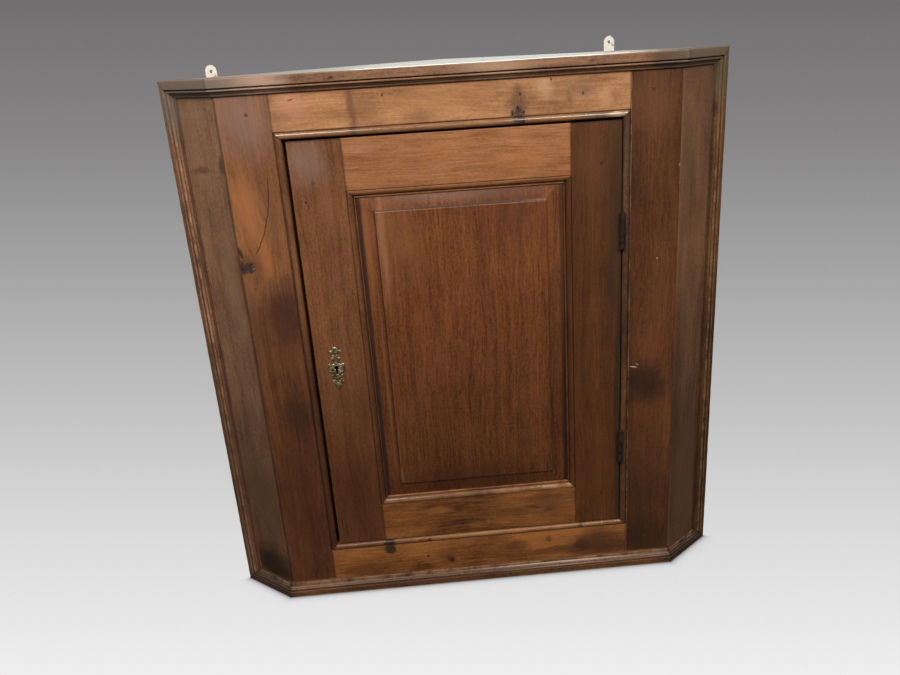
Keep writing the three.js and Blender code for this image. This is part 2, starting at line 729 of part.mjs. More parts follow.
function lockCuts() {
  const face = block(
    [lockBox.x[0] - overrun, lockBox.x[0] + lock.skin + fit],
    [lockBox.y[0] - fit, door.thick + overrun],
    grown(lockBox.z, fit),
  );
  const body = block(
    [lockBox.x[0] - overrun, lockBox.x[1] + fit],
    [lockBox.y[0] - fit, door.thick + overrun],
    grown(lockCaseZ, fit),
  );
  return [
    face, body, keyholeCut([-overrun, lockBox.y[0]]), ...escutcheonPinHoles(),
    ...lockScrews.map(asScrewHole),
  ];
}

function lockCase() {
  const back = door.thick - lock.cap - fit;
  const faceX = [lockBox.x[0], lockBox.x[0] + lock.skin];
  const facePlate = block(faceX, lockBox.y, lockBox.z);
  const box = block(lockBox.x, [lockBox.y[0], back], lockCaseZ);
  const hollow = block(
    [lockBox.x[0] + lock.skin, lockBox.x[1] - lock.skin],
    [lockBox.y[0] + lock.skin, door.thick + overrun],
    grown(lockCaseZ, -lock.skin),
  );
  const slot = block(
    [lockBox.x[0] - overrun, lockBox.x[0] + lock.skin + overrun],
    grown(boltBox.y, fit), grown(boltBox.z, fit),
  );
  const throughFace = [lockBox.y[0] - overrun, lockBox.y[0] + lock.skin + fit];
  const whole = cut(join(facePlate, cut(box, hollow)), slot, keyholeCut(throughFace));
  add(doorGroup, "lock_case", join(whole, ...lockScrews.map(asScrew)), iron());
}

function lockCap() {
  const x = [lockBox.x[0] + lock.skin + fit, lockBox.x[1]];
  add(doorGroup, "lock_cap", block(x, [door.thick - lock.cap, door.thick], lockCaseZ), iron());
}

function lockBolt() {
  const talon = block(
    [key.x - keyhole.bow, key.x + keyhole.bow], grown(boltBox.y, overrun),
    [boltBox.z[0] - overrun, boltBox.z[0] + bolt.height / 4],
  );
  add(doorGroup, "lock_bolt", cut(block(boltBox.x, boltBox.y, boltBox.z), talon), iron());
}

// Strike plate and its mortise, in the left bead
const strikeX = -opening.half + bead.width;
const strikeMiddle = [(boltBox.y[0] + boltBox.y[1]) / 2, (boltBox.z[0] + boltBox.z[1]) / 2];
const strikeScrews = strikeScrewShares.map((share) => ({
  start: [strikeX, strikeMiddle[0], strikeMiddle[1] + share * strike.height],
  direction: [-1, 0, 0],
}));
const strikeBox = (clear) => block(
  [strikeX - strike.thick - clear, strikeX + (clear > 0 ? overrun : 0)],
  [strikeMiddle[0] - strike.depth / 2 - clear, strikeMiddle[0] + strike.depth / 2 + clear],
  [strikeMiddle[1] - strike.height / 2 - clear, strikeMiddle[1] + strike.height / 2 + clear],
);
const strikeMortise = block(
  [boltBox.x[0] - bolt.throw - 2 * fit, strikeX + overrun], grown(boltBox.y, fit), grown(boltBox.z, fit),
);
const strikeHoles = strikeScrews.map(asScrewHole);

// Escutcheon: a pierced plate made of overlapping discs, pinned to the face of the stile

const onPlate = (share) => share * escutcheon.height;
const disc = ([x, z, radius], front, back, sideCount) => rod(
  onPlate(radius), back - front, sideCount, [key.x + onPlate(x), front, key.z + onPlate(z)], [0, 1, 0],
);
const pinStarts = escutcheonPinShares.map(
  (share) => [key.x, -escutcheon.thick - pin.headRise - fit, key.z + onPlate(share)],
);

function escutcheonPinHoles() {
  return pinStarts.map(
    (start) => rod(pin.shank + fit, pin.length + fit, smallSides, start, [0, 1, 0]),
  );
}

function escutcheonPlate() {
  const [front, back] = [-escutcheon.thick - fit, -fit];
  const discs = escutcheonDiscShares.map((share) => disc(share, front, back, roundSides));
  const piercings = escutcheonHoleShares.map(
    (share) => disc(share, front - overrun, back + overrun, smallSides),
  );
  const pierced = cut(join(...discs), ...piercings, keyholeCut([front - overrun, back + overrun]));
  add(doorGroup, "escutcheon", join(pierced, ...escutcheonPins()), brass());
}

function escutcheonPins() {
  const profile = [
    [0, 0], [pin.head * Math.SQRT1_2, 0], [pin.head, pin.headRise / 2], [pin.head, pin.headRise - fit],
    [pin.shank, pin.headRise - fit], [pin.shank, pin.length], [0, pin.length],
  ];
  return pinStarts.map((start) => turned(profile, smallSides, start, [0, 1, 0]));
}

// Assembly of the case

for (const [name, side] of sides) {
  frameStile(name, side);
  cantedBoard(name, side);
  backBoards(name, side);
  hangingPlateMesh(name);
  shelfBearers(name, side);
  const group = cantedGroups[name];
  add(group, `cornice_${name}`, returnMoulding(side, caseHeight, -1), oak(mouldingOak));
  add(group, `base_moulding_${name}`, returnMoulding(side, 0, 1), oak(mouldingOak));
  add(group, `side_moulding_${name}`, sideMoulding(side), oak(mouldingOak));
}

frameRail("top", [opening.top, caseHeight]);
frameRail("bottom", [0, opening.bottom]);
add(cupboard, "cornice_front", frontMoulding(caseHeight, -1), oak(mouldingOak));
add(cupboard, "base_moulding_front", frontMoulding(0, 1), oak(mouldingOak));
add(cupboard, "bead_top", levelBead(opening.top, -1), oak(railOak));
add(cupboard, "bead_bottom", levelBead(opening.bottom, 1), oak(railOak));
const strikeCuts = [strikeBox(fit), strikeMortise, ...strikeHoles];
add(cupboard, "bead_left", cut(uprightBead(-1), ...strikeCuts), oak(stileOak));
add(cupboard, "bead_right", cut(uprightBead(1), ...hingeCuts("frame")), oak(stileOak));

pegs(cupboard, "frame_peg", framePegs, frame.thick);
topAndBottom();
shelves();
const postHeight = [innerBottom + fit, innerTop - fit];
add(cupboard, "corner_post", upright(postOutline(0), postHeight), pine(backPine));
add(cupboard, "door_stop", block(
  [strikeX + doorStop.lap - doorStop.width, strikeX + doorStop.lap],
  [frame.thick + fit, frame.thick + fit + doorStop.thick],
  [opening.bottom + doorStop.inset, opening.top - doorStop.inset],
), pine(backPine));
const strikeWithSlot = cut(strikeBox(0), strikeMortise);
add(cupboard, "strike_plate", join(strikeWithSlot, ...strikeScrews.map(asScrew)), iron());

// Assembly of the door and its fittings

doorStile("left", -1);
doorStile("right", 1);
doorRail("top", 1);
doorRail("bottom", -1);
doorPanel();
pegs(doorGroup, "door_peg", doorPegs, door.thick);
for (const [name, middle] of hingePlaces) {
  hingeLeaf("frame", name, middle);
  hingeLeaf("door", name, middle);
  hingePin(name, middle);
}
lockCase();
lockCap();
lockBolt();
escutcheonPlate();

cupboard.position.y = -(wallReach - moulding.proud) / 2;

export default cupboard;
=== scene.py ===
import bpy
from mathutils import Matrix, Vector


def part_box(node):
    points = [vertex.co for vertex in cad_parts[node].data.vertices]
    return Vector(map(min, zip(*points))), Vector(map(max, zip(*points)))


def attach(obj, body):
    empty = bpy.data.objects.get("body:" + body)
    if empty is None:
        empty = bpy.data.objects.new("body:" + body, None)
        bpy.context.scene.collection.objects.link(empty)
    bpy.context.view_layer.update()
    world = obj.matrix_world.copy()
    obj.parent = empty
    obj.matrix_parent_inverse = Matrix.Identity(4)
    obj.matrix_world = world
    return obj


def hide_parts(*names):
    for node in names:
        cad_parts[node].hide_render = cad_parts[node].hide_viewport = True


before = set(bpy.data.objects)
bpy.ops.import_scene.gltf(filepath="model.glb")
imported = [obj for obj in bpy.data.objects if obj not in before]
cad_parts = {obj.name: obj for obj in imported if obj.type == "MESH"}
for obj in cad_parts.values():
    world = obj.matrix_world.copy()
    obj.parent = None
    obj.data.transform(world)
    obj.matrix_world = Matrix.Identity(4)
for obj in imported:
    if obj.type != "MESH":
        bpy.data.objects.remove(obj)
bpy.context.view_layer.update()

import math
import bmesh
import bpy
import numpy as np

mm = 0.001
bothSides = ((-1, "left"), (1, "right"))
scene = bpy.context.scene

# camera
cameraLook = {
    "place": (-0.0513, -1.29546, 0.7971),
    "turn": (68.670, 3.283, -4.297),  # degrees
    "lens": 32.34,
    "shift": (-0.0254, 0.0242),
    "farthest": 300,
}
cameraData = bpy.data.cameras.new("camera")
cameraData.lens = cameraLook["lens"]
cameraData.shift_x, cameraData.shift_y = cameraLook["shift"]
cameraData.clip_end = cameraLook["farthest"]
camera = bpy.data.objects.new("camera", cameraData)
camera.location = cameraLook["place"]
camera.rotation_euler = [math.radians(angle) for angle in cameraLook["turn"]]
scene.collection.objects.link(camera)
scene.camera = camera
scene.view_settings.view_transform = "Standard"
print("stage: camera")


# measures taken from the frame
def box(node):
    return np.array(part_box(node))  # lowest and highest corner


stileBox = box("frame_stile_right")
opening, arris = stileBox[:, 0]  # half widths of the door's opening and of the flat front
face, caseTop = stileBox[0][1], stileBox[1][2]
frameThick = stileBox[1][1] - face
openingTop, openingBottom = box("frame_top_rail")[0][2], box("frame_bottom_rail")[1][2]
cornerY = box("back_board_left_1")[1][1]
doorLeft, doorRight = box("door_stile_left")[0][0], box("door_stile_right")[1][0]
doorTop, doorBottom = box("door_top_rail")[1][2], box("door_bottom_rail")[0][2]
doorThick = box("door_top_rail")[1][1] - face
cant = math.radians(40)
miter = math.tan(cant / 2)
faceTilt = math.tan(math.radians(45) - cant)  # how the wall plane leans from square to the canted face
wallHalf = (arris * math.sin(cant) + (cornerY - face) * math.cos(cant)) / (math.sin(cant) + math.cos(cant))
cantedWidth = (wallHalf - arris) / math.cos(cant)


# places: an origin and the directions that a piece's across, depth and along take
def place(origin, across, depth, along):
    return np.array([origin, across, depth, along], float)


def standing(x, side):
    # a board of the front that runs up, across measured from x to one side
    return place((x, face, 0), (side, 0, 0), (0, 1, 0), (0, 0, 1))


def lying(z, side):
    # a board of the front that runs to the right, across measured up or down from z
    return place((0, face, z), (0, 0, side), (0, 1, 0), (1, 0, 0))


def canted(side):
    # the returned side board: across runs from the arris to the wall, depth into the case
    across = (side * math.cos(cant), math.sin(cant), 0)
    depth = (-side * math.sin(cant), math.cos(cant), 0)
    return place((side * arris, face, 0), across, depth, (0, 0, 1))


def wall(side):
    # across runs from the back corner along the wall, depth into the case
    slope = math.sqrt(0.5)
    return place((0, cornerY, 0), (side * slope, -slope, 0), (-side * slope, -slope, 0), (0, 0, 1))


def toWorld(local, spot):
    return spot[0] + local @ spot[1:]


# outlines
def eased(corners, spacing=4 * mm, steps=4, margin=0.7 * mm):
    # rows of across, depth, cut-back, tone: each corner becomes a parabola that leaves both sides at the
    # cut-back, then long sides are divided; tone fades out just beyond the curve
    rows = np.array(corners, float)
    point, cut, tone = rows[:, :2], rows[:, 2], rows[:, 3]
    after = np.roll(point, -1, 0) - point
    before = np.roll(point, 1, 0) - point
    lengthAfter = np.linalg.norm(after, axis=1)
    lengthBefore = np.linalg.norm(before, axis=1)
    after /= lengthAfter[:, None]
    before /= lengthBefore[:, None]
    cutAfter, cutBefore = np.minimum(cut, 0.3 * lengthAfter), np.minimum(cut, 0.3 * lengthBefore)
    guardAfter = np.minimum(cutAfter * 2 + margin, 0.45 * lengthAfter)
    guardBefore = np.minimum(cutBefore * 2 + margin, 0.45 * lengthBefore)
    t = np.linspace(0, 1, steps)[None, :, None]
    entry = point + before * cutBefore[:, None]
    leave = point + after * cutAfter[:, None]
    curve = (1 - t) ** 2 * entry[:, None] + 2 * t * (1 - t) * point[:, None] + t ** 2 * leave[:, None]
    first, last = point + before * guardBefore[:, None], point + after * guardAfter[:, None]
    outline = np.concatenate([first[:, None], curve, last[:, None]], 1).reshape(-1, 2)
    fade = np.concatenate([[0], np.ones(steps), [0]])
    tones = (tone[:, None] * fade[None]).reshape(-1)
    keep = np.linalg.norm(outline - np.roll(outline, 1, 0), axis=1) > 2e-6
    outline, tones = outline[keep], tones[keep]
    side = np.roll(outline, -1, 0) - outline
    parts = np.maximum(1, np.ceil(np.linalg.norm(side, axis=1) / spacing - 1e-6)).astype(int)
    index = np.repeat(np.arange(len(outline)), parts)
    share = (np.arange(parts.sum()) - np.repeat(np.cumsum(parts) - parts, parts)) / np.repeat(parts, parts)
    toneStep = np.roll(tones, -1) - tones
    return outline[index] + side[index] * share[:, None], tones[index] + toneStep[index] * share


def arc(start, end, rise, count, tone):
    # rows on a circular arc between start and end, which are left out, that rises to the left of the way
    start, end = np.array(start, float), np.array(end, float)
    half = np.linalg.norm(end - start) / 2
    way = (end - start) / (2 * half)
    normal = np.array([-way[1], way[0]])
    radius = (half ** 2 + rise ** 2) / (2 * rise)
    swing = np.arcsin(np.clip(half / abs(radius), -1, 1)) * np.sign(rise)
    if abs(rise) > half:
        swing = np.sign(rise) * math.pi - swing
    centre = (start + end) / 2 + normal * (rise - radius)
    angle = np.linspace(-swing, swing, count)[1:-1, None]
    points = centre + radius * (np.cos(angle) * normal + np.sin(angle) * way)
    return [(*point, 0, tone) for point in points.tolist()]


def waves(points, seed, size):
    # a smooth uneven value from -1 to 1: the mean of sine waves that run in seeded directions
    turn = 6.28
    ways = np.random.default_rng(seed).normal(size=(7, 3))
    ways /= np.linalg.norm(ways, axis=1)[:, None]
    lengths = size * np.array([1, 0.8, 0.63, 0.5, 0.4, 0.3, 0.24])
    phase = np.random.default_rng(seed + 1).uniform(0, turn, 7)
    return np.sin(points @ (ways / lengths[:, None]).T * turn + phase).mean(1) * 1.6


# meshes
def newObject(name, data):
    made = bpy.data.objects.new(name, data)
    scene.collection.objects.link(made)
    return made


def ringFaces(rings, size):
    # the faces between closed rings of points that follow one another, and a cap on the first and the last
    here = np.arange(rings - 1)[:, None] * size + np.arange(size)
    beside = np.arange(rings - 1)[:, None] * size + (np.arange(size) + 1) % size
    quads = np.stack([here, beside, beside + size, here + size], -1).reshape(-1, 4).tolist()
    last = (rings - 1) * size
    return quads + [list(range(size))[::-1], list(range(last, last + size))]


def gridFaces(rows, columns):
    # point numbers of a grid, and the four-sided face at each of its cells
    index = np.arange(rows * columns).reshape(rows, columns)
    return index, np.stack([index[:-1, :-1], index[1:, :-1], index[1:, 1:], index[:-1, 1:]], -1)


def runShell(outline, tones, start, end, endTone=-0.6, spacing=7 * mm, lip=1 * mm):
    # every outline point travels straight from its start to its end; start and end are planes:
    # constant, slope across, slope depth
    begin = start[0] + outline @ np.array(start[1:])
    finish = end[0] + outline @ np.array(end[1:])
    length = np.abs(finish - begin).mean()
    count = max(2, int(length / spacing))
    edge = min(lip / length, 0.2 / count)
    share = np.unique(np.concatenate([
        np.linspace(0, 1, count + 1), [edge, 1 - edge, 2.4 * edge, 1 - 2.4 * edge]]))[:, None]
    along = begin + (finish - begin) * share
    local = np.empty((*along.shape, 3))
    local[:, :, :2] = outline
    local[:, :, 2] = along
    tone = np.broadcast_to(tones, along.shape).copy()
    tone[[0, 1, -2, -1]] = np.minimum(tone[[0, 1, -2, -1]], endTone) if endTone < 0 else endTone
    return local.reshape(-1, 3), ringFaces(*along.shape), tone.reshape(-1)


def boxShell(lowCorner, highCorner):
    pick = np.array([[0, 0, 0], [1, 0, 0], [1, 1, 0], [0, 1, 0], [0, 0, 1], [1, 0, 1], [1, 1, 1], [0, 1, 1]])
    faces = [[3, 2, 1, 0], [4, 5, 6, 7], [0, 1, 5, 4], [1, 2, 6, 5], [2, 3, 7, 6], [3, 0, 4, 7]]
    return lowCorner + pick * (np.array(highCorner) - lowCorner), faces


seamAngle = 38  # degrees from which a bend shows as an edge


def shade(mesh, sharp=seamAngle):
    mesh.polygons.foreach_set("use_smooth", np.ones(len(mesh.polygons), bool))
    mesh.set_sharp_from_angle(angle=math.radians(sharp))
    mesh.update()


def store(mesh, label, values):
    # one value or one direction for each point, which the materials read by its name
    kind, field = ("FLOAT_VECTOR", "vector") if values.ndim == 2 else ("FLOAT", "value")
    made = mesh.attributes.new(label, kind, "POINT")
    made.data.foreach_set(field, values.astype(np.float32).ravel())


def meshFrom(name, world, faces, attributes, sharp=seamAngle):
    mesh = bpy.data.meshes.new(name)
    mesh.from_pydata(np.asarray(world).tolist(), [], faces)
    for label, values in attributes.items():
        store(mesh, label, values)
    solid = bmesh.new()
    solid.from_mesh(mesh)
    bmesh.ops.recalc_face_normals(solid, faces=solid.faces)
    solid.to_mesh(mesh)
    solid.free()
    shade(mesh, sharp)
    return mesh


def joined(name, meshes, sharp=seamAngle):
    if len(meshes) == 1:
        return meshes[0]
    whole = bmesh.new()
    for mesh in meshes:
        whole.from_mesh(mesh)
    result = bpy.data.meshes.new(name)
    whole.to_mesh(result)
    whole.free()
    shade(result, sharp)
    return result


def carved(name, mesh, cuts):
    # recesses for ironwork: each cutter is taken away from the board
    body = newObject(name + "_blank", mesh)
    cutters = []
    for points, faces in cuts:
        attributes = {"grain": points, "edge": np.full(len(points), -0.6)}
        cutters.append(newObject("cutter", meshFrom("cutter", points, faces, attributes)))
        step = body.modifiers.new("recess", "BOOLEAN")
        step.operation = "DIFFERENCE"
        step.solver = "EXACT"
        step.object = cutters[-1]
    bpy.context.view_layer.update()
    result = bpy.data.meshes.new_from_object(body.evaluated_get(bpy.context.evaluated_depsgraph_get()))
    for item in [body] + cutters:
        bpy.data.objects.remove(item)
    shade(result)
    return result


def finishObject(name, mesh, finish, nodes, body="case"):
    piece = newObject(name, mesh)
    mesh.materials.clear()
    mesh.materials.append(mats[finish])
    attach(piece, body)
    if nodes:
        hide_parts(*nodes)
    return piece


def bent(across, along, knots):
    # the grain parts round a knot: it is pushed aside by a bell that dies out with distance
    stretch, push = 2.6, 0.9
    shift = np.zeros_like(across)
    for x, z, radius in knots:
        dx, dz = across - x * mm, along - z * mm
        bell = np.exp(-(dx ** 2 + (dz / stretch) ** 2) / (2 * (radius * mm) ** 2))
        shift -= np.sign(dx) * np.minimum(np.abs(dx), radius * mm) * bell * push
    return shift


handLook = {
    "uneven": 0.12 * mm, "unevenReach": 0.16,
    "wear": 0.35 * mm, "wearReach": 0.05, "leastWear": 0.35,  # the least is a share of the wear
}


def woodPiece(name, shells, spot, finish, seed, knots=(), cuts=(), body="case", grainAxes=None,
              uneven=handLook["uneven"], wear=handLook["wear"]):
    # shells are outlines with their ends; all share the board's own frame, and so its grain; worn edges are
    # drawn in, and the face is a little uneven; the cuts go into the first shell
    piece = name + "_wood"
    offset = np.random.default_rng(seed + 400).uniform(0, 9, 3)
    axes = spot[1:] if grainAxes is None else np.array(grainAxes, float)
    meshes = []
    for outline, tones, start, end, endTone in shells:
        local, faces, tone = runShell(outline, tones, start, end, endTone)
        world = toWorld(local, spot)
        outward = local[:, :2] - local[:, :2].mean(0)
        outward /= np.linalg.norm(outward, axis=1)[:, None] + 1e-9
        patchy = np.clip(waves(world, seed + 7, handLook["wearReach"]) + 0.3, 0, 1)
        least = handLook["leastWear"]
        rub = np.clip(tone, 0, 1) * (least + (1 - least) * patchy) * wear
        shift = np.zeros_like(local)
        shift[:, :2] = -outward * rub[:, None]
        shift[:, 1] += uneven * waves(world, seed + 3, handLook["unevenReach"])
        grain = world @ axes.T
        if knots:
            grain[:, 0] += bent(world[:, 0], world[:, 2], knots)
        attributes = {"grain": grain + offset, "edge": tone}
        meshes.append(meshFrom(piece, toWorld(local + shift, spot), faces, attributes))
    if cuts:
        meshes[0] = carved(piece, meshes[0], cuts)
    finishObject(piece, joined(piece, meshes), finish, [name], body)


def flat(value):
    return (value, 0, 0)


# shader nodes
def feed(tree, sockets, inputs):
    # each input is a fixed value or another node's output
    for label, value in inputs.items():
        if isinstance(value, bpy.types.NodeSocket):
            tree.links.new(value, sockets[label])
        else:
            sockets[label].default_value = value


def addNode(tree, kind, inputs=(), **settings):
    made = tree.nodes.new("ShaderNode" + kind)
    for label, value in settings.items():
        setattr(made, label, value)
    feed(tree, made.inputs, dict(inputs))
    return made


def maths(tree, operation, *values, clamp=False):
    return addNode(tree, "Math", enumerate(values), operation=operation, use_clamp=clamp).outputs[0]


def times(tree, first, second, clamp=False):
    return maths(tree, "MULTIPLY", first, second, clamp=clamp)


def timesPlus(tree, first, second, third, clamp=False):
    return maths(tree, "MULTIPLY_ADD", first, second, third, clamp=clamp)


def minus(tree, first, second=0.5):
    return maths(tree, "SUBTRACT", first, second)


def vectors(tree, operation, first, second):
    made = addNode(tree, "VectorMath", {0: first, 1: second}, operation=operation)
    return made.outputs["Value" if operation == "DOT_PRODUCT" else "Vector"]


def parts(tree, vector):
    return addNode(tree, "SeparateXYZ", {0: vector}).outputs


def mixed(tree, factor, first, second, blend="MIX"):
    inputs = {0: factor, 6: first, 7: second}
    return addNode(tree, "Mix", inputs, data_type="RGBA", blend_type=blend).outputs[2]


def noise(tree, vector, scale, detail, rough=0.55, distort=0.0):
    # scale is one number, or three for a pattern that is drawn out
    if isinstance(scale, tuple):
        vector, scale = vectors(tree, "MULTIPLY", vector, scale), 1
    inputs = {"Vector": vector, "Scale": scale, "Detail": detail, "Roughness": rough, "Distortion": distort}
    return addNode(tree, "TexNoise", inputs).outputs[0]


def ranged(tree, value, fromLow, fromHigh, toLow=0.0, toHigh=1.0):
    inputs = {"Value": value, "From Min": fromLow, "From Max": fromHigh, "To Min": toLow, "To Max": toHigh}
    return addNode(tree, "MapRange", inputs, interpolation_type="SMOOTHSTEP").outputs[0]


def bumped(tree, height, strength, distance):
    inputs = {"Height": height, "Strength": strength, "Distance": distance}
    return addNode(tree, "Bump", inputs).outputs[0]


def newGroup(name, inputs, outputs):
    # an input's kind follows from its value: a number, a place of three or a colour of four
    tree = bpy.data.node_groups.new(name, "ShaderNodeTree")
    kinds = {0: "NodeSocketFloat", 3: "NodeSocketVector", 4: "NodeSocketColor"}
    for label, value in inputs.items():
        kind = kinds[len(value) if isinstance(value, tuple) else 0]
        tree.interface.new_socket(label, in_out="INPUT", socket_type=kind).default_value = value
    for label in outputs:
        kind = kinds[4 if label == "Color" else 0]
        tree.interface.new_socket(label, in_out="OUTPUT", socket_type=kind)
    return tree, tree.nodes.new("NodeGroupInput").outputs, tree.nodes.new("NodeGroupOutput").inputs


def oakGroup():
    # growth streaks, fine streaks and open pores, drawn out along the board's third grain direction, then
    # weave, mottling and ray flecks
    tree, given, out = newGroup("oakGrain", {
        "Grain": (0, 0, 0), "Dark": (0.05, 0.02, 0.01, 1), "Light": (0.3, 0.13, 0.05, 1), "Streak": 1.0,
        "Fine": 1.0, "Mottle": 1.0, "Pores": 0.5, "Middle": 0.5, "Figure": 0.0, "Weave": 0.5},
        ("Color", "Roughness", "Height"))
    grain = given["Grain"]
    sway = times(tree, minus(tree, noise(tree, grain, (7, 7, 2.2), 2)), 0.05)
    line = vectors(tree, "ADD", grain, addNode(tree, "CombineXYZ", {0: sway}).outputs[0])
    broad = noise(tree, line, (85, 85, 2.6), 4, 0.6)
    fine = noise(tree, line, (430, 430, 24), 4, 0.7)
    mottle = noise(tree, grain, (16, 16, 7), 3, 0.6)
    weave = noise(tree, grain, (330, 330, 260), 3, 0.7)
    pore = ranged(tree, noise(tree, line, (1500, 1500, 150), 1, 0.5), 0.56, 0.68)
    ray = ranged(tree, noise(tree, grain, (95, 95, 420), 2, 0.5, 0.6), 0.58, 0.7)
    total = given["Middle"]
    for layer, label in ((broad, "Streak"), (fine, "Fine"), (weave, "Weave"), (mottle, "Mottle")):
        total = timesPlus(tree, minus(tree, layer), given[label], total, clamp=label == "Mottle")
    colour = mixed(tree, total, given["Dark"], given["Light"])
    darker = mixed(tree, 1.0, colour, (0.3, 0.24, 0.2, 1), "MULTIPLY")
    colour = mixed(tree, times(tree, pore, given["Pores"], clamp=True), colour, darker)
    colour = mixed(tree, times(tree, times(tree, ray, given["Figure"]), 0.5), colour, given["Light"])
    feed(tree, out, {
        "Color": colour, "Roughness": timesPlus(tree, fine, 0.14, times(tree, pore, 0.2)),
        "Height": timesPlus(tree, fine, 0.6, times(tree, pore, -0.6))})
    return tree


def edgeGroup():
    # a tone above nought lightens the edge: worn finish, and on some finishes a painted highlight; one below
    # nought fills with dirt and old wax, and on the door's sticking it paints shade
    tree, given, out = newGroup("wornEdge", {
        "Color": (1, 1, 1, 1), "Tone": 0.0, "Place": (0, 0, 0), "RubbedAndHighlight": (0.3, 0.14, 0.06, 1),
        "Dirt": (0.01, 0.006, 0.004, 1), "Rub": 0.5, "Fill": 0.8}, ("Color", "Dull"))
    tone = given["Tone"]
    patchy = noise(tree, given["Place"], 55, 3, 0.6)
    rub = times(tree, maths(tree, "MAXIMUM", tone, 0), ranged(tree, patchy, 0.35, 0.62))
    rub = times(tree, rub, given["Rub"], clamp=True)
    fill = maths(tree, "MAXIMUM", times(tree, tone, -1), 0)
    fill = times(tree, fill, ranged(tree, patchy, 0.2, 0.55, 0.55, 1.0))
    fill = times(tree, fill, given["Fill"], clamp=True)
    colour = mixed(tree, rub, given["Color"], given["RubbedAndHighlight"])
    feed(tree, out, {"Color": mixed(tree, fill, colour, given["Dirt"]), "Dull": fill})
    return tree


def stainGroup():
    # a ragged oval on the object's x and z: one inside, nought outside
    tree, given, out = newGroup("stain", {
        "Place": (0, 0, 0), "Centre": (0, 0, 0), "Turn": (0, 0, 0), "Size": (0.02, 1, 0.02),
        "Ragged": 0.6, "Soft": 0.6, "Strength": 1.0}, ["Mask"])
    moved = vectors(tree, "SUBTRACT", given["Place"], given["Centre"])
    turned = addNode(tree, "VectorRotate", {"Vector": moved, "Rotation": given["Turn"]},
                     rotation_type="EULER_XYZ").outputs[0]
    scaled = vectors(tree, "DIVIDE", turned, given["Size"])
    x, _, z = parts(tree, scaled)
    reach = maths(tree, "SQRT", timesPlus(tree, x, x, times(tree, z, z)))
    reach = timesPlus(tree, minus(tree, noise(tree, scaled, 1.7, 4, 0.65)), given["Ragged"], reach)
    mask = ranged(tree, reach, minus(tree, 1.0, given["Soft"]), 1.0, 1.0, 0.0)
    feed(tree, out, {"Mask": times(tree, mask, given["Strength"])})
    return tree


def crackGroup():
    # a thin line x = a + b z + c z squared on the front, between two heights
    tree, given, out = newGroup("crackLine", {
        "Place": (0, 0, 0), "Terms": (0, 0, 0), "Bottom": 0.0, "Top": 1.0, "Width": 0.001, "Strength": 1.0},
        ["Mask"])
    fade = 0.01
    x, _, z = parts(tree, given["Place"])
    a, b, c = parts(tree, given["Terms"])
    line = timesPlus(tree, timesPlus(tree, c, z, b), z, a)
    shake = times(tree, minus(tree, noise(tree, given["Place"], 60, 2)), 0.004)
    away = maths(tree, "ABSOLUTE", maths(tree, "ADD", minus(tree, x, line), shake))
    mask = ranged(tree, away, 0.0, given["Width"], 1.0, 0.0)
    bottom, top = given["Bottom"], given["Top"]
    mask = times(tree, mask, ranged(tree, z, bottom, maths(tree, "ADD", bottom, fade)))
    mask = times(tree, mask, ranged(tree, z, minus(tree, top, fade), top, 1.0, 0.0))
    feed(tree, out, {"Mask": times(tree, mask, given["Strength"])})
    return tree


groups = {"oak": oakGroup(), "edge": edgeGroup(), "stain": stainGroup(), "crack": crackGroup()}


def useGroup(tree, name, inputs):
    return addNode(tree, "Group", inputs, node_tree=groups[name]).outputs


def tint(red, green, blue):
    # screen values of 0 to 255 to linear light
    value = np.array([red, green, blue], float) / 255
    linear = np.where(value <= 0.04045, value / 12.92, ((value + 0.055) / 1.055) ** 2.4)
    return (*linear.tolist(), 1.0)


def newMaterial(name):
    material = bpy.data.materials.new(name)
    material.use_nodes = True
    tree = material.node_tree
    return material, tree, tree.nodes["Principled BSDF"].inputs, addNode(tree, "TexCoord").outputs["Object"]


woodDefaults = {
    "dark": (70, 40, 24), "light": (150, 92, 48), "streak": 1.0, "fine": 1.5, "mottle": 1.0, "pores": 0.35,
    "middle": 0.5, "figure": 0.0, "weave": 0.7, "rubbedAndHighlight": (170, 112, 62), "dirt": (28, 19, 13), "rub": 0.5,
    "fill": 0.85, "rough": 0.32, "coat": 0.2, "coatRough": 0.24, "bump": 0.00012, "spec": 0.25, "cracks": [],
    "stains": [],  # ragged ovals that lie under the worn edges
    "veils": [],  # ragged ovals that also cover the worn edges and the dirt
    # the foot is painted shade over some darker wood: light that falls off downwards
    "foot": (1.0, 1.0, 1.0), "footShadeRange": (150, 500),  # darker by these shares below these heights
}


def stained(tree, where, colour, stains):
    for x, z, halfWide, halfHigh, turn, shadeOf, strength, ragged, soft in stains:
        mask = useGroup(tree, "stain", {
            "Place": where, "Centre": (x * mm, 0, z * mm), "Turn": (0, math.radians(turn), 0),
            "Size": (halfWide * mm, 1, halfHigh * mm), "Ragged": ragged, "Soft": soft, "Strength": strength})
        colour = mixed(tree, mask["Mask"], colour, tint(*shadeOf))
    return colour


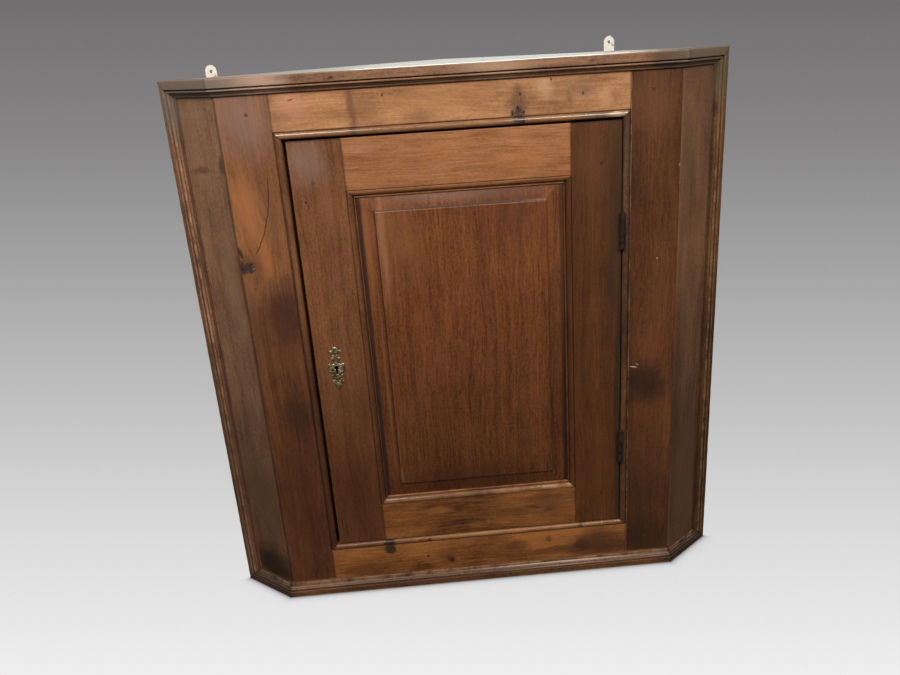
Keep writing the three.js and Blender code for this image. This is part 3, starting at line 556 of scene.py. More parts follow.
def woodMaterial(name, **changes):
    # from the bottom up: grain, stains, the darker foot (painted shade over some darker wood), cracks, worn
    # edges and dirt, veils
    look = {**woodDefaults, **changes}
    material, tree, shader, where = newMaterial(name)
    oak = useGroup(tree, "oak", {
        "Grain": addNode(tree, "Attribute", attribute_name="grain").outputs["Vector"],
        "Dark": tint(*look["dark"]), "Light": tint(*look["light"]),
        **{label.capitalize(): look[label]
           for label in ("streak", "fine", "mottle", "pores", "middle", "figure", "weave")}})
    colour = stained(tree, where, oak["Color"], look["stains"])
    # painted shade: the colour is darkened below the given heights, standing in for light that falls off
    # downwards
    if look["foot"] != woodDefaults["foot"]:
        fromLow, fromHigh = look["footShadeRange"]
        above = ranged(tree, parts(tree, where)[2], fromLow * mm, fromHigh * mm)
        colour = mixed(tree, above, mixed(tree, 1.0, colour, (*look["foot"], 1), "MULTIPLY"), colour)
    for terms, bottom, top, wide, shadeOf, strength in look["cracks"]:
        mask = useGroup(tree, "crack", {
            "Place": where, "Terms": terms, "Bottom": bottom * mm, "Top": top * mm, "Width": wide * mm,
            "Strength": strength})
        colour = mixed(tree, mask["Mask"], colour, tint(*shadeOf))
    worn = useGroup(tree, "edge", {
        "Color": colour, "Tone": addNode(tree, "Attribute", attribute_name="edge").outputs["Fac"],
        "Place": where, "RubbedAndHighlight": tint(*look["rubbedAndHighlight"]), "Dirt": tint(*look["dirt"]), "Rub": look["rub"],
        "Fill": look["fill"]})
    dull = timesPlus(tree, worn["Dull"], 0.3, look["rough"])
    feed(tree, shader, {
        "Base Color": stained(tree, where, worn["Color"], look["veils"]),
        "Roughness": maths(tree, "ADD", oak["Roughness"], dull),
        "Normal": bumped(tree, oak["Height"], 1.0, look["bump"]), "Coat Weight": look["coat"],
        "Coat Roughness": look["coatRough"], "Specular IOR Level": look["spec"]})
    return material


def metalMaterial(name, dark, light, scale, metallic, rough=0.5, patches=(0.4, 0.62)):
    # two tones of old metal or paint in patches, pitted
    material, tree, shader, where = newMaterial(name)
    pits = noise(tree, where, scale * 6, 3, 0.6)
    patchy = timesPlus(tree, minus(tree, pits), 0.35, noise(tree, where, scale, 4, 0.65))
    mask = ranged(tree, patchy, *patches)
    feed(tree, shader, {
        "Base Color": mixed(tree, mask, tint(*dark), tint(*light)), "Metallic": metallic,
        "Roughness": timesPlus(tree, mask, -0.16, rough), "Normal": bumped(tree, pits, 0.8, 0.2 * mm)})
    return material


print("stage: shader groups")

# finishes: a stain is its x, z, half width and half height in mm, turn in degrees, colour, strength,
# raggedness and softness; a crack is its line's terms, bottom, top and width in mm, colour, strength
# the right-hand finishes are darker than their left-hand twins: partly painted shade of the side turned from
# the light, over the wood's own tone
finishes = {
    "stileLeft": dict(
        dark=(95, 59, 36), light=(154, 101, 62), foot=(0.56, 0.5, 0.5), footShadeRange=(330, 560),
        stains=[
            # paler greyish head, a painted sheen; the flame and the darker wood round it
            (-268, 725, 60, 75, 0, (138, 106, 93), 0.75, 0.7, 1.0),
            (-279, 610, 26, 84, 2, (166, 106, 62), 0.7, 0.6, 0.9),
            (-247, 600, 11, 66, 0, (110, 71, 46), 0.6, 0.6, 0.9),
            (-264, 545, 11, 44, 4, (170, 104, 58), 0.65, 0.9, 0.9),
            (-294, 450, 16, 80, 0, (106, 72, 50), 0.7, 0.9, 0.9),
            # dark patches, and the darker foot, painted shade where the light falls off downwards
            (-240, 464, 38, 62, 0, (62, 38, 31), 0.8, 1.3, 0.9),
            (-262, 458, 36, 66, 0, (78, 47, 35), 0.65, 1.4, 1.0),
            (-250, 425, 24, 42, 0, (95, 57, 40), 0.4, 0.9, 1.0),
            (-254, 398, 28, 22, 0, (124, 67, 42), 0.5, 1.0, 0.9),
            (-252, 310, 44, 56, 0, (61, 41, 32), 0.6, 0.9, 1.0),
            (-262, 150, 70, 200, 0, (83, 49, 28), 0.6, 0.8, 1.0),
            # the knots and their specks
            (-289, 531, 11, 8.5, 10, (58, 46, 40), 0.92, 2.2, 0.5),
            (-297, 552, 4, 10, 12, (50, 40, 34), 0.85, 2.2, 0.6),
            (-297, 532, 4, 12, 0, (50, 38, 32), 0.85, 2.0, 0.6),
            (-287, 534, 3.4, 3, 0, (46, 24, 30), 0.85, 1.6, 0.6),
            (-283, 530, 3, 1.4, 20, (128, 116, 104), 0.8, 2.6, 0.5),
            (-285, 537, 3, 1.2, 0, (22, 16, 14), 0.85, 1.8, 0.5),
            (-291, 527, 2.4, 1.6, 0, (96, 84, 76), 0.7, 2.4, 0.5),
            (-289, 536, 16, 15, 0, (73, 47, 34), 0.6, 1.4, 0.9)],
        cracks=[((-1.443, 3.6715, -2.8187), 545, 655, 1.2, (44, 25, 15), 0.9)]),
    # darker than stileLeft, partly painted shade of the right side; its pale inner edge is a painted
    # highlight
    "stileRight": dict(
        dark=(64, 36, 18), light=(109, 65, 36), rubbedAndHighlight=(168, 124, 90), foot=(0.85, 0.88, 0.95),
        footShadeRange=(60, 400), weave=1.0, rub=0.9, mottle=1.3,
        stains=[
            (262, 715, 50, 56, 0, (115, 73, 44), 0.5, 0.8, 1.0),
            (270, 369, 19, 24, 0, (113, 59, 29), 0.55, 1.2, 0.9),
            (258, 314, 52, 44, 0, (44, 30, 20), 0.8, 0.9, 0.8),
            (264, 254, 28, 15, 0, (102, 54, 27), 0.55, 1.2, 0.9),
            (238, 300, 8, 200, 0, (43, 28, 18), 0.5, 0.8, 1.0),
            (262, 150, 60, 120, 0, (72, 44, 22), 0.5, 0.9, 1.0),
            (262, 40, 60, 60, 0, (58, 38, 24), 0.7, 0.8, 0.9),
            # two pale chips and a scratch
            (272.6, 503, 1.3, 1.2, 0, (192, 170, 125), 0.9, 0.6, 0.4),
            (300, 630, 0.8, 2.6, 0, (172, 150, 116), 0.8, 0.8, 0.5),
            (241.3, 341.4, 7, 0.8, -12, (209, 197, 157), 0.9, 0.8, 0.5),
            (247, 345, 3.4, 0.6, -30, (199, 185, 146), 0.7, 0.8, 0.5)]),
    "topRail": dict(
        dark=(128, 81, 46), light=(198, 143, 97), streak=0.8, mottle=2.0, fine=1.3,
        stains=[
            # broad clouds
            (-205, 738, 34, 34, 0, (198, 139, 107), 0.6, 0.8, 1.0),
            (-129, 728, 9, 44, 3, (98, 64, 45), 0.75, 1.4, 0.9),
            (-116, 728, 18, 18, 0, (134, 91, 61), 0.55, 1.2, 0.9),
            (-40, 714, 28, 12, 0, (122, 79, 53), 0.55, 1.4, 0.9),
            (120, 738, 18, 20, 0, (210, 161, 121), 0.5, 1.2, 0.9),
            (200, 722, 15, 18, 0, (206, 155, 113), 0.45, 1.2, 0.9),
            (84, 738, 13, 11, 0, (112, 77, 55), 0.6, 1.4, 0.9),
            (86, 720, 20, 26, 0, (104, 74, 54), 0.75, 1.6, 0.9),
            (-10, 738, 110, 36, 0, (150, 98, 58), 0.35, 0.8, 1.0),
            (169, 735, 28, 16, 0, (126, 91, 71), 0.65, 1.4, 0.9),
            (152, 724, 7, 14, 8, (104, 75, 61), 0.5, 1.3, 0.9),
            # the knot above the bead and its specks
            (85, 711, 12, 8, 0, (58, 44, 35), 0.85, 2.4, 0.6),
            (87.4, 733.4, 2.2, 2.4, 0, (66, 34, 24), 0.9, 1.0, 0.5),
            (88.4, 724, 2.0, 9, 0, (104, 62, 46), 0.6, 1.2, 0.8),
            (80, 713, 1.5, 2.2, 0, (124, 108, 90), 0.8, 1.6, 0.5),
            (87, 709, 2.0, 1.4, 0, (112, 98, 84), 0.7, 1.6, 0.5),
            (77, 709, 1.8, 3.4, 0, (28, 20, 16), 0.85, 1.8, 0.5),
            (84, 717, 1.5, 3.4, 0, (32, 24, 19), 0.85, 1.8, 0.5),
            (92, 711, 1.8, 2.6, 0, (28, 20, 16), 0.85, 1.8, 0.5),
            # nail marks
            (-89, 743, 1.8, 2.2, 0, (62, 36, 26), 0.9, 0.9, 0.5),
            (128, 749.2, 1.8, 2.6, 10, (80, 42, 30), 0.9, 0.9, 0.5),
            (169.3, 729.6, 1.8, 3.0, 0, (82, 44, 30), 0.9, 0.9, 0.5),
            (-205, 744, 5, 1.5, 15, (132, 57, 40), 0.8, 0.8, 0.5)]),
    "bottomRail": dict(
        dark=(85, 48, 22), light=(169, 106, 54), streak=0.9, mottle=2.2, fine=1.6,
        stains=[
            # broad clouds
            (-190, 30, 50, 26, 0, (89, 51, 28), 0.5, 1.0, 1.0),
            (60, 50, 36, 13, 4, (74, 45, 26), 0.6, 1.4, 0.8),
            (163, 40, 22, 17, 10, (52, 32, 20), 0.8, 1.3, 0.8),
            (190, 42, 64, 40, 0, (76, 47, 29), 0.85, 0.8, 0.8),
            (120, 36, 30, 10, 0, (81, 49, 28), 0.5, 1.4, 0.8),
            # the dark spot at the bead, a nail mark and the knots
            (-141, 66, 12, 12, 0, (48, 37, 26), 0.9, 1.0, 0.5),
            (-83.6, 46.6, 2.4, 2.4, 0, (28, 20, 15), 0.92, 0.9, 0.5),
            (-47, 36, 7, 6, 0, (37, 24, 17), 0.9, 1.6, 0.6),
            (-50, 40, 16, 9, 0, (81, 49, 31), 0.6, 1.4, 0.9),
            (109, 57.5, 7, 7, 0, (70, 45, 28), 0.6, 1.2, 0.6),
            (109, 57.5, 4.4, 4.4, 0, (119, 76, 43), 0.7, 1.0, 0.6)]),
    # paler and greyer than cantedRight: partly painted light and sheen of the side turned to the light
    "cantedLeft": dict(
        dark=(105, 75, 55), light=(156, 116, 86), foot=(0.68, 0.62, 0.56), footShadeRange=(150, 480), weave=1.6,
        streak=0.7, mottle=2.3, rough=0.36,
        stains=[
            # the darker foot and the paler head, painted shade and light where the light falls off
            # downwards; two dark marks
            (-335, 165, 80, 110, 0, (114, 88, 60), 0.75, 0.8, 1.0),
            (-330, 36, 70, 54, 0, (54, 39, 26), 0.92, 0.8, 0.8),
            (-345, 690, 30, 60, 0, (134, 98, 73), 0.4, 0.9, 1.0),
            (-316, 500, 18, 110, 0, (150, 114, 86), 0.6, 0.8, 1.0),
            (-336, 661, 24, 6, 8, (80, 57, 46), 0.6, 1.6, 0.8),
            (-304, 668, 5, 16, 0, (60, 43, 33), 0.7, 1.4, 0.8),
            (-303, 420, 4, 300, 0, (105, 63, 38), 0.5, 0.8, 1.0),
            (-365, 560, 8, 40, 0, (61, 42, 33), 0.6, 1.4, 0.8),
            (-322, 300, 20, 50, 0, (118, 86, 67), 0.4, 1.2, 0.9)]),
    # darker than cantedLeft: painted shade of the side turned from the light
    "cantedRight": dict(
        dark=(94, 64, 44), light=(139, 99, 70), foot=(0.7, 0.72, 0.72), footShadeRange=(150, 480), weave=1.7,
        streak=0.7, mottle=1.8, rough=0.36,
        stains=[
            # the darker foot, painted shade where the light falls off downwards; the dark front edge and the
            # paler streak
            (335, 130, 70, 180, 0, (94, 69, 47), 0.5, 0.8, 1.0),
            (308, 300, 17, 300, 0, (82, 51, 30), 0.6, 0.8, 1.0),
            (316, 640, 15, 90, 0, (98, 72, 54), 0.55, 0.8, 1.0),
            (334, 650, 9, 90, 0, (140, 104, 78), 0.35, 0.8, 1.0)]),
    "cornice": dict(
        dark=(96, 66, 46), light=(152, 110, 80), dirt=(50, 30, 19), weave=1.6, streak=0.9, mottle=1.8,
        rub=0.6,
        stains=[
            # nicks and pale scratches
            (-150, 768, 5, 3, 0, (48, 30, 22), 0.7, 1.0, 0.6),
            (30, 764, 4, 2, 0, (46, 30, 22), 0.7, 1.0, 0.6),
            (180, 769, 6, 2, 0, (52, 34, 24), 0.6, 1.0, 0.6),
            (-292, 778, 14, 3, 0, (188, 166, 146), 0.7, 2.6, 0.6),
            (-258, 764, 12, 2.5, 0, (70, 50, 40), 0.7, 2.4, 0.6),
            (-268, 781, 18, 2.5, 0, (196, 174, 154), 0.6, 2.6, 0.6),
            # pale wear, and the smoky ends
            (-240, 768, 60, 30, 0, (184, 150, 126), 0.85, 0.8, 0.9),
            (62, 768, 75, 30, 0, (184, 148, 118), 0.7, 1.0, 1.0),
            (-366, 764, 150, 110, 0, (126, 110, 96), 0.8, 0.5, 0.5),
            (362, 764, 110, 110, 0, (108, 94, 72), 0.85, 0.5, 0.5),
            (282, 768, 40, 30, 0, (76, 58, 40), 0.8, 0.5, 0.8),
            (120, 770, 90, 5, 0, (176, 128, 90), 0.5, 1.0, 1.0)],
        veils=[
            (-366, 764, 112, 110, 0, (114, 97, 84), 0.5, 0.6, 0.5),
            (366, 764, 110, 110, 0, (112, 94, 75), 0.5, 0.6, 0.5)]),
    # its pale rubbed colour on the step is a painted highlight
    "baseMoulding": dict(
        dark=(62, 38, 22), light=(124, 82, 50), rubbedAndHighlight=(206, 164, 124), weave=1.4, streak=0.9, mottle=1.6,
        rub=0.9, coat=0.15, coatRough=0.25,
        stains=[
            (-340, 10, 62, 40, 0, (60, 46, 34), 0.85, 0.7, 0.5),
            (345, 10, 75, 40, 0, (56, 42, 30), 0.85, 0.7, 0.5),
            (-120, 10, 120, 14, 0, (84, 54, 34), 0.5, 1.2, 0.8)],
        veils=[
            (-345, 12, 40, 40, 0, (72, 54, 40), 0.5, 0.8, 0.6),
            # painted highlights: two pale lines along the step and the bead on the right half
            (140, 16.5, 190, 1.4, 0, (232, 200, 168), 0.75, 1.8, 0.7),
            (140, 11.5, 190, 1.3, 0, (208, 174, 142), 0.6, 1.8, 0.7)]),
    "sideMouldingLeft": dict(
        dark=(90, 60, 42), light=(154, 108, 78), rubbedAndHighlight=(224, 180, 142), dirt=(46, 25, 17),
        foot=(0.7, 0.68, 0.66), footShadeRange=(150, 500), weave=1.8, streak=0.7, mottle=2.2, rub=1.0, fill=1.0,
        stains=[(-372, 755, 40, 50, 0, (126, 110, 94), 0.75, 0.7, 0.8)],
        veils=[
            (-372, 750, 40, 64, 0, (112, 96, 80), 0.5, 0.7, 0.7),
            (-372, 200, 30, 270, 0, (84, 58, 38), 0.5, 0.9, 0.8)]),
    # darker than sideMouldingLeft: partly painted shade of the right side
    "sideMouldingRight": dict(
        dark=(66, 43, 24), light=(124, 84, 51), rubbedAndHighlight=(176, 144, 106), dirt=(42, 31, 16),
        foot=(0.68, 0.6, 0.53), footShadeRange=(200, 600), weave=1.8, streak=0.7, mottle=2.2, rub=0.9, fill=0.95,
        stains=[
            (365, 745, 40, 50, 0, (108, 92, 66), 0.75, 0.7, 0.8),
            (365, 120, 30, 150, 0, (60, 43, 27), 0.5, 0.8, 1.0),
            (362, 695, 6, 14, 0, (37, 27, 19), 0.7, 1.4, 0.7)],
        veils=[(368, 755, 40, 60, 0, (88, 72, 54), 0.5, 0.7, 0.7)]),
    # the pale rubbed colour on the crown, under a strong coat, is a painted highlight
    "beadTop": dict(
        dark=(96, 60, 34), light=(164, 112, 68), rubbedAndHighlight=(206, 176, 138), streak=0.9, mottle=1.5, rough=0.3,
        coat=1.0, coatRough=0.1,
        stains=[
            # the knot that reaches down from the rail, and worn places
            (86, 701, 10, 8, 0, (62, 50, 40), 0.9, 2.4, 0.5),
            (91, 701, 1.8, 4, 0, (26, 19, 15), 0.85, 1.6, 0.5),
            (82, 703, 2.2, 1.4, 0, (140, 128, 112), 0.7, 1.6, 0.5),
            (192, 701, 32, 12, 0, (92, 78, 62), 0.6, 2.0, 0.8),
            (214, 701, 16, 4, 0, (196, 172, 142), 0.7, 2.6, 0.7),
            (-130, 701, 8, 8, 0, (70, 46, 32), 0.7, 1.2, 0.8)]),
    # the pale rubbed colour on the crown is a painted highlight
    "beadBottom": dict(
        dark=(92, 56, 30), light=(158, 106, 62), rubbedAndHighlight=(196, 150, 104), streak=0.9, mottle=1.8, rub=0.7,
        rough=0.3, coatRough=0.14,
        stains=[
            (160, 79, 6, 5, 0, (40, 26, 17), 0.85, 1.6, 0.6),
            (-79, 77, 5, 5, 0, (60, 38, 22), 0.7, 1.8, 0.6)],
        veils=[
            # painted shade: the left part is darkened where the crown's highlight dies out
            (-190, 77, 80, 20, 0, (104, 66, 38), 0.6, 0.9, 0.7),
            (-141, 74, 12, 22, 0, (42, 31, 21), 0.92, 0.9, 0.5)]),
    "beadLeft": dict(
        dark=(88, 54, 34), light=(156, 104, 66), foot=(0.34, 0.29, 0.27), footShadeRange=(330, 540), streak=0.9,
        mottle=1.4, rub=0.3, rough=0.36),
    # darker than the other beads: partly painted shade of the right side
    "beadRight": dict(
        dark=(72, 46, 31), light=(138, 98, 68), rubbedAndHighlight=(170, 140, 116), foot=(0.62, 0.53, 0.36),
        footShadeRange=(380, 660), weave=1.4, streak=1.2, mottle=1.4, rough=0.36, coat=0.3,
        stains=[
            (228, 500, 8, 70, 0, (44, 36, 30), 0.4, 0.9, 0.9),
            (228, 390, 10, 70, 0, (36, 20, 14), 0.65, 0.9, 0.8),
            (228, 668, 10, 70, 0, (62, 44, 30), 0.7, 0.9, 0.7)]),
    "doorLeft": dict(
        dark=(88, 52, 28), light=(142, 92, 56), foot=(0.6, 0.54, 0.52), footShadeRange=(200, 520), weave=1.3,
        mottle=1.2,
        stains=[
            # the greyish head is a painted sheen
            (-195, 665, 44, 44, 0, (136, 106, 92), 0.7, 0.8, 1.0),
            (-172, 610, 16, 50, 0, (134, 84, 58), 0.5, 1.0, 1.0),
            (-180, 160, 60, 130, 0, (84, 50, 28), 0.55, 0.9, 1.0),
            (-158, 300, 12, 70, 0, (98, 58, 34), 0.5, 1.0, 1.0),
            (-202, 614, 1.8, 1.8, 0, (40, 26, 20), 0.9, 0.8, 0.5)]),
    # darker than doorLeft: partly painted shade of the right side
    "doorRight": dict(
        dark=(66, 36, 18), light=(108, 64, 34), streak=0.9, mottle=1.1,
        stains=[
            # paler head and darker foot, painted light and shade where the light falls off downwards; a
            # darker band along the hinged edge
            (180, 640, 40, 60, 0, (112, 69, 44), 0.4, 0.9, 1.0),
            (216, 585, 22, 200, 0, (57, 42, 27), 0.85, 0.8, 1.0),
            (219, 260, 9, 260, 0, (46, 36, 26), 0.7, 1.2, 0.6),
            (208, 470, 12, 90, 0, (48, 38, 30), 0.6, 1.2, 0.9),
            (190, 180, 40, 100, 0, (80, 44, 23), 0.4, 0.9, 1.0)]),
    "doorTopRail": dict(
        dark=(124, 74, 38), light=(180, 122, 78), mottle=0.9, fine=1.8,
        stains=[
            (-120, 680, 40, 16, 0, (172, 122, 88), 0.4, 1.0, 1.0),
            (90, 650, 70, 14, 2, (182, 120, 66), 0.4, 1.2, 1.0)]),
    # the pale rubbed colour on the ovolo is a painted highlight
    "doorBottomRail": dict(
        dark=(78, 43, 18), light=(154, 97, 49), rubbedAndHighlight=(214, 158, 106), coat=0.5, coatRough=0.12, rub=0.9,
        streak=0.9, mottle=2.2, fine=1.6,
        stains=[
            # clouds and flecks of the curly grain
            (-60, 128, 36, 8, 3, (162, 105, 55), 0.5, 1.4, 0.9),
            (60, 112, 60, 10, -2, (78, 45, 22), 0.5, 1.5, 0.8),
            (-26, 104, 24, 8, 0, (60, 36, 20), 0.65, 1.6, 0.8),
            (86, 119, 20, 4, -8, (56, 34, 20), 0.65, 1.8, 0.7),
            (110, 112, 14, 5, 10, (61, 38, 22), 0.6, 1.8, 0.7),
            (112, 122, 44, 34, 0, (84, 52, 28), 0.6, 0.9, 0.9)],
        # painted shade: the veil darkens the sticking round its painted highlight
        veils=[(-60, 152, 150, 5, 0, (92, 60, 36), 0.5, 1.4, 0.7)]),
    "panel": dict(
        dark=(80, 42, 19), light=(137, 81, 43), foot=(0.62, 0.6, 0.62), footShadeRange=(120, 620), weave=1.1,
        streak=1.1, fine=2.0, pores=0.5, figure=0.6,
        stains=[
            # clouds; painted shadow of the sticking in dark bands down both sides of the field; a painted
            # sheen on the top bevel; darker towards the bottom, painted shade
            (-90, 560, 70, 90, 0, (137, 87, 56), 0.45, 0.9, 1.0),
            (0, 175, 160, 44, 0, (74, 42, 23), 0.6, 0.8, 1.0),
            (142, 400, 7, 1400, 0, (56, 36, 26), 0.7, 0.3, 0.5),
            (130, 340, 18, 320, 0, (64, 38, 24), 0.35, 0.8, 1.0),
            (0, 612, 160, 15, 0, (147, 112, 96), 0.45, 0.5, 0.8),
            (-127, 540, 7, 120, 0, (152, 100, 62), 0.5, 1.2, 0.9),
            (-120, 330, 3, 190, 0, (150, 96, 54), 0.45, 2.0, 0.8),
            (-139, 400, 9, 1400, 0, (56, 38, 30), 0.9, 0.3, 0.35),
            (-106, 545, 9, 110, 0, (166, 114, 82), 0.5, 2.0, 0.9),
            (143, 250, 9, 290, 0, (50, 32, 24), 0.85, 0.5, 0.7),
            (70, 590, 80, 90, 0, (86, 46, 28), 0.55, 1.0, 1.0),
            (-112, 192, 4, 16, 0, (150, 112, 70), 0.6, 1.2, 0.8)]),
    "peg": dict(
        dark=(84, 56, 38), light=(128, 86, 58), streak=1.2, rub=0.2, fill=0.6),
    # a darker copy of peg: painted shade for the pegs outside the lit upper left
    "pegShaded": dict(
        dark=(54, 34, 22), light=(92, 58, 36), streak=1.2, rub=0.2, fill=0.6),
    "pine": dict(
        dark=(104, 74, 44), light=(168, 128, 82), rubbedAndHighlight=(180, 144, 98), dirt=(60, 44, 30), streak=0.9,
        fine=0.6, pores=0.1, rough=0.5, coat=0.0, fill=0.6),
    "insideOak": dict(
        dark=(84, 58, 38), light=(136, 98, 62), rough=0.45, coat=0.0),
    "topPaint": dict(
        dark=(150, 154, 140), light=(190, 192, 176), rubbedAndHighlight=(128, 104, 78), dirt=(96, 88, 74), streak=0.5,
        fine=0.5, mottle=1.3, pores=0.2, rough=0.5, coat=0.0, rub=0.8, fill=0.5,
        stains=[
            (-330, 796, 130, 60, 0, (150, 132, 118), 0.85, 0.8, 0.6),
            (335, 796, 105, 60, 0, (112, 94, 74), 0.85, 0.8, 0.5)]),
}
metals = {  # dark, light, scale of the patches, metallic
    "iron": ((34, 26, 20), (66, 50, 38), 110, 0.3),
    "steel": ((58, 52, 46), (104, 96, 86), 60, 0.8),
    "brass": ((104, 90, 58), (206, 190, 142), 190, 0.75, 0.46, (0.4, 0.66)),
    "cream": ((150, 128, 104), (236, 230, 212), 110, 0.0, 0.5, (0.3, 0.42)),
}
mats = {name: woodMaterial(name, **look) for name, look in finishes.items()}
mats.update({name: metalMaterial(name, *look) for name, look in metals.items()})
print("stage: finishes")

# case front
caseLook = {
    "ease": 0.5 * mm, "jointEase": 0.22 * mm, "arrisEase": 1.1 * mm, "cantedEase": 0.7 * mm,
    "backEase": 0.4 * mm, "jointGap": 0.1 * mm, "cantedGap": 0.2 * mm, "spacing": 5 * mm,
    # tones of each stile's inner edge and arris, and of the canted board's front edge; the right stile's
    # pale inner edge, facing the light, is a painted highlight
    "left": {"tones": (-0.5, -0.7, -0.6), "stileKnots": [(-288, 541, 15), (-262, 590, 10)],
             "cantedKnots": [(-345, 565, 12)]},
    "right": {"tones": (0.9, -0.1, -0.1), "stileKnots": [(256, 400, 12)], "cantedKnots": []},
}
rise = miter * frameThick
jointEase, spacing = caseLook["jointEase"], caseLook["spacing"]
jointGap, cantedGap = caseLook["jointGap"], caseLook["cantedGap"]
for side, label in bothSides:
    look = caseLook[label]
    innerTone, arrisTone, cantedTone = look["tones"]
    outline = eased([
        (side * opening, 0, jointEase, innerTone), (side * arris, 0, caseLook["arrisEase"], arrisTone),
        (side * (arris - rise), frameThick, jointEase, 0),
        (side * opening, frameThick, jointEase, 0)], spacing)
    woodPiece("frame_stile_" + label, [(*outline, flat(jointGap), flat(caseTop - jointGap), -0.6)],
              standing(0, 1), "stile" + label.capitalize(), 11 + side, look["stileKnots"])
    outline = eased([
        (jointGap, 0, caseLook["cantedEase"], cantedTone),
        (cantedWidth - jointGap, 0, caseLook["ease"], 0.4),
        (cantedWidth - faceTilt * frameThick, frameThick, caseLook["backEase"], 0),
        (rise + cantedGap, frameThick, cantedGap, 0)], spacing)
    woodPiece("canted_board_" + label, [(*outline, flat(cantedGap), flat(caseTop - cantedGap), -0.6)],
              canted(side), "canted" + label.capitalize(), 21 + side, look["cantedKnots"])
for name, finish, bottom, top in (("frame_top_rail", "topRail", openingTop, caseTop),
                                  ("frame_bottom_rail", "bottomRail", 0, openingBottom)):
    outline = eased([(bottom, 0, jointEase, -0.4), (top, 0, jointEase, -0.2),
                     (top, frameThick, jointEase, 0), (bottom, frameThick, jointEase, 0)], spacing)
    woodPiece(name, [(*outline, flat(jointGap - opening), flat(opening - jointGap), -0.6)],
              lying(0, 1), finish, len(name) + 30)

# cock bead round the opening: across runs into the opening, depth into the case
beadLook = {
    "width": 10 * mm, "rise": 3.6 * mm, "quirk": 1.3 * mm, "sunk": 0.9 * mm, "inside": 1.2 * mm,
    "back": 20 * mm, "wear": 0.25 * mm, "boltThrow": 10 * mm, "boltRoom": 0.4 * mm,
    "strikeRecess": (8.8 * mm, 10.5 * mm), "leafRecess": (8.4 * mm, 10.5 * mm),  # from the opening's edge
    "boltRecess": 9.5 * mm,  # how far from the same edge the bolt's recess ends
    "leafFront": 9 * mm,  # how far before the face the leaves' recesses start
}
recess = 0.05 * mm  # room round what is let in


def pocket(node, xFrom=None, xTo=None, yFrom=None, yTo=None, room=recess):
    # a cutter round a node's box, with room on all sides; an x or y that is given replaces the box's own
    corners = box(node) + [[-room], [room]]
    for end, axis, value in ((0, 0, xFrom), (1, 0, xTo), (0, 1, yFrom), (1, 1, yTo)):
        if value is not None:
            corners[end, axis] = value
    return boxShell(*corners)


def beadOutline():
    # back edge, quirk, then a nose that is an arc over the bead's width
    look = beadLook
    wide, quirk, start = look["width"], look["quirk"], 0.3 * mm
    nose = arc((quirk, look["sunk"]), (wide, look["inside"]), -look["rise"], 13, 0.25)
    return eased(
        [(start, look["back"], 0.1 * mm, 0), (start, start, 0.1 * mm, -1), (quirk, look["sunk"], 0, -1)]
        + nose + [(wide, look["inside"], 0, 0.1), (wide, look["back"], 0.3 * mm, 0)], 3 * mm)


throw = beadLook["boltThrow"] + beadLook["boltRoom"]
strikeNear, strikeFar = beadLook["strikeRecess"]
leafNear, leafFar = beadLook["leafRecess"]
leafFront = face - beadLook["leafFront"]
beads = {
    "bead_top": (lying(openingTop, -1), -opening, opening, ()),
    "bead_bottom": (lying(openingBottom, 1), -opening, opening, ()),
    # recesses for the strike plate and for the bolt when it is thrown
    "bead_left": (standing(-opening, 1), openingBottom, openingTop, [
        pocket("strike_plate", strikeNear - opening, strikeFar - opening),
        pocket("lock_bolt", box("lock_bolt")[0][0] - throw, beadLook["boltRecess"] - opening,
               room=beadLook["boltRoom"])]),
    "bead_right": (standing(opening, -1), openingBottom, openingTop, [
        pocket("hinge_frame_leaf_" + hinge, opening - leafFar, opening - leafNear, leafFront)
        for hinge in ("upper", "lower")]),
}
for name, (spot, begin, end, cuts) in beads.items():
    shell = (*beadOutline(), (begin, 1, 0), (end, -1, 0), -0.5)
    woodPiece(name, [shell], spot, "bead" + name[5:].capitalize(), 40 + len(name), cuts=cuts,
              wear=beadLook["wear"])

# cornice, base and side mouldings: across runs in from the outer edge, depth is how proud it stands
# shapes are shares: where the flat band ends, the bead's two sides, where the low step starts, then the
# heights of the step's two sides; tones are for the band's two edges, the bead, the quirk and the step
mouldLook = {
    "width": 21.5 * mm, "proud": 10.8 * mm, "gap": 0.08 * mm, "sideWear": 0.6 * mm,
    "cornice": {"band": 0.52, "bead": (0.6, 0.73), "step": 0.9, "low": (0.34, 0.28),
                "tones": (0.8, 0.3, 0.15, -1, -0.1)},
    # the base's step tone, above nought, paints a highlight along the step's top
    "base_moulding": {"band": 0.42, "bead": (0.47, 0.64), "step": 0.72, "low": (0.46, 0.4),
                      "tones": (0.3, 0.0, 0.2, -0.9, 0.55)},
    "side_moulding": {"band": 0.44, "bead": (0.48, 0.72), "step": 0.8, "low": (0.26, 0.22),
                      "tones": (0.7, 0.3, 0.6, -0.8, -1)},
}


